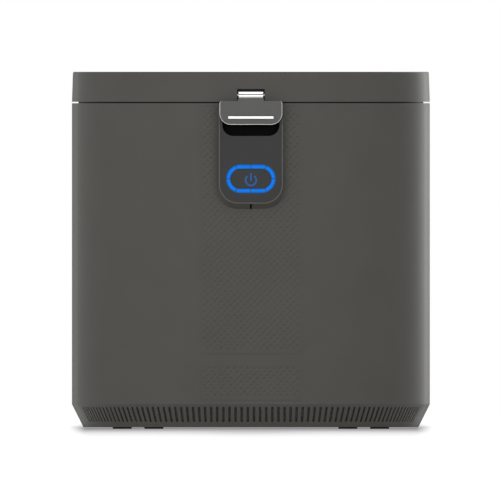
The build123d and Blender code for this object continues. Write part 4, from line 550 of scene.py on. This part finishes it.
camera_data = bpy.data.cameras.new("camera")
camera_data.type = "ORTHO"
camera_data.ortho_scale = PICTURE_WIDTH
camera = bpy.data.objects.new("camera", camera_data)
bpy.context.scene.collection.objects.link(camera)
camera.location = (PICTURE_MIDDLE[0], -CAMERA_DISTANCE, PICTURE_MIDDLE[2])
camera.rotation_euler = (math.radians(90), 0, 0)
bpy.context.scene.camera = camera


def softbox(name, place, width, height, level, target=(0, 0, 0.18)):
    """An area light aimed at the object; level is what it gives a white surface that faces it."""
    data = bpy.data.lights.new(name, "AREA")
    data.shape = "RECTANGLE"
    data.size = width
    data.size_y = height
    light = bpy.data.objects.new(name, data)
    bpy.context.scene.collection.objects.link(light)
    light.location = place
    aim = Vector(target) - Vector(place)
    light.rotation_euler = aim.to_track_quat("-Z", "Y").to_euler()
    data.energy = level * math.pi ** 2 * aim.length_squared


softbox("front_left", (-1.1, -2.2, 0.8), 1.2, 1.6, 0.245)
softbox("front", (0.0, -2.6, 0.45), 0.8, 0.8, 0.05)
softbox("front_right", (1.1, -2.2, 0.8), 1.2, 1.6, 0.24)
softbox("left", (-2.4, -0.4, 0.4), 1.2, 2.4, 0.23)
softbox("right", (2.4, -0.5, 0.4), 1.2, 2.4, 0.085)
softbox("rear_left", (-2.1, 1.1, 0.4), 1.0, 2.4, 0.02)
softbox("rear_right", (2.2, 1.0, 0.4), 1.0, 2.4, 0.02)
softbox("rear", (1.2, 2.2, 0.4), 1.0, 2.4, 0.40)
softbox("overhead", (0.0, 1.4, 2.4), 2.2, 1.8, 0.03, target=(0, -0.1, 0))
softbox("strip", (0.0, -1.4, 2.0), 1.2, 0.3, 0.06, target=(0, -0.1, 0.3))

FILL = 0.3                 # white from all round that lights the object
WHITE = 1.0                # white behind it, as the camera sees it


def shown_white(tree):
    """1 for rays that show the white studio: to the camera, or by way of metal or glass."""
    ray = tree.nodes.new("ShaderNodeLightPath")
    total = ray.outputs["Is Camera Ray"]
    for other in ("Is Glossy Ray", "Is Transmission Ray"):
        total = maths(tree, "ADD", total, ray.outputs[other], clamp=True)
    return total


def background(tree, strength):
    """White light from all round."""
    node = tree.nodes.new("ShaderNodeBackground")
    node.inputs["Color"].default_value = (1, 1, 1, 1)
    node.inputs["Strength"].default_value = strength
    return node.outputs[0]


def mix_shaders(tree, factor, first, second):
    """The first shader where the factor is 0, the second where it is 1."""
    node = tree.nodes.new("ShaderNodeMixShader")
    tree.links.new(factor, node.inputs["Fac"])
    tree.links.new(first, node.inputs[1])
    tree.links.new(second, node.inputs[2])
    return node.outputs[0]


world = bpy.data.worlds.new("studio")
bpy.context.scene.world = world
world.use_nodes = True
sky = world.node_tree
sky.nodes.clear()
both = mix_shaders(sky, shown_white(sky), background(sky, FILL), background(sky, WHITE))
sky.links.new(both, sky.nodes.new("ShaderNodeOutputWorld").inputs["Surface"])

# ---- Floor, in metres -------------------------------------------------------------------------
FLOOR_WHITE = 0.12         # share of the camera's view of the paper that the lamps light
FLOOR_BOUNCE = 0.6         # paper as the object sees it
FLOOR_FALL = 0.16          # slope in front of the object, so that a level camera sees its shadow
FLOOR_RISE = 0.16          # slope beside and behind it
FLOOR_TOP = 0.010          # and how high it rises in the end
TURN_Y = 0.03              # the slope turns from falling to rising between -TURN_Y and TURN_Y
BASE_RADII = (0.1285, 0.0285)        # front and rear corners of the base
BASE_CENTRES = ((0.0344, 0.003), (0.139, 0.111))
SHADE_REACH = 0.08         # how far round it the object darkens the paper
SIDE_REACH = 0.04          # and how far at its two sides
SIDE_START, SIDE_END = 0.162, 0.176  # distances from the middle between which that reach falls off
PALE_START, PALE_END = 0.166, 0.182  # and between which the shade pales
SIDE_PALE = 0.95
# The paper's brightness against how open each spot of it is, from 0 to 1.
SHADE = [(0.0, 0.26), (0.35, 0.28), (0.63, 0.53), (0.73, 0.77), (0.84, 0.91), (0.92, 0.96)]
FLOOR_EDGE = 0.003         # the slopes start this far inside the base's outline
FLOOR_RINGS = 22
FIRST_RING = 0.004         # width of the innermost ring
RING_GROWTH = 1.28         # and of each next one over the last


def floor_ring(away):
    """Points on the paper at a distance outside the outline where its slopes start."""
    ring = []
    for corner, start in ((1, 0), (1, 90), (0, 180), (0, 270)):
        side = 1 if start in (0, 270) else -1
        x, y = BASE_CENTRES[corner]
        ring += arc((side * x, y), BASE_RADII[corner] + away - FLOOR_EDGE, start, 90, 24)
    points = []
    for x, y in ring:
        rear = min(max((y + TURN_Y) / (2 * TURN_Y), 0.0), 1.0)
        rise = FLOOR_TOP * (1 - math.exp(-FLOOR_RISE * away / FLOOR_TOP))
        points.append((x, y, rise * rear - FLOOR_FALL * away * (1 - rear)))
    return points


rings = [floor_ring(0.0)]
away = 0.0
for k in range(FLOOR_RINGS):
    away += FIRST_RING * RING_GROWTH ** k
    rings.append(floor_ring(away))
floor_points = [point for ring in rings for point in ring]
count = len(rings[0])
floor_faces = [list(range(count))]
for r in range(len(rings) - 1):
    for i in range(count):
        n = (i + 1) % count
        floor_faces.append([r * count + i, (r + 1) * count + i, (r + 1) * count + n, r * count + n])
floor_mesh = bpy.data.meshes.new("floor")
floor_mesh.from_pydata(floor_points, [], floor_faces)
floor_mesh.update()
floor = bpy.data.objects.new("floor", floor_mesh)
bpy.context.scene.collection.objects.link(floor)


def diffuse(tree, level):
    """Matt paper of a grey level."""
    node = tree.nodes.new("ShaderNodeBsdfDiffuse")
    node.inputs["Color"].default_value = (level, level, level, 1)
    return node.outputs[0]


def floor_shade(tree):
    """The soft shade round the object's foot, paler at its two sides."""
    spot = tree.nodes.new("ShaderNodeTexCoord")
    aside = maths(tree, "ABSOLUTE", split_axes(tree, spot.outputs["Object"])["X"])
    open_sky = tree.nodes.new("ShaderNodeAmbientOcclusion")
    open_sky.samples = 16
    reach = map_range(tree, aside, SIDE_START, SIDE_END, SHADE_REACH, SIDE_REACH)
    tree.links.new(reach, open_sky.inputs["Distance"])
    ramp = tree.nodes.new("ShaderNodeValToRGB")
    stops = ramp.color_ramp.elements
    while len(stops) < len(SHADE):
        stops.new(0.5)
    for stop, (position, _) in zip(stops, SHADE):
        stop.position = position
    for stop, (_, level) in zip(stops, SHADE):
        stop.color = (level, level, level, 1)
    tree.links.new(open_sky.outputs["AO"], ramp.inputs["Fac"])
    pale = tree.nodes.new("ShaderNodeMix")
    pale.data_type = "RGBA"
    tree.links.new(map_range(tree, aside, PALE_START, PALE_END, 0.0, SIDE_PALE), pale.inputs["Factor"])
    tree.links.new(ramp.outputs["Color"], pale.inputs[6])
    pale.inputs[7].default_value = (1, 1, 1, 1)
    return pale.outputs[2]


def white_paper():
    """Paper that shows white with a soft shade, and bounces less light than that onto the object."""
    paper = bpy.data.materials.new("white_paper")
    paper.use_nodes = True
    tree = paper.node_tree
    tree.nodes.clear()
    glow = tree.nodes.new("ShaderNodeEmission")
    tree.links.new(floor_shade(tree), glow.inputs["Color"])
    lit = tree.nodes.new("ShaderNodeAddShader")
    tree.links.new(diffuse(tree, FLOOR_WHITE), lit.inputs[0])
    tree.links.new(glow.outputs[0], lit.inputs[1])
    both = mix_shaders(tree, shown_white(tree), diffuse(tree, FLOOR_BOUNCE), lit.outputs[0])
    tree.links.new(both, tree.nodes.new("ShaderNodeOutputMaterial").inputs["Surface"])
    return paper


floor.data.materials.append(white_paper())

bpy.context.scene.view_settings.view_transform = "Standard"
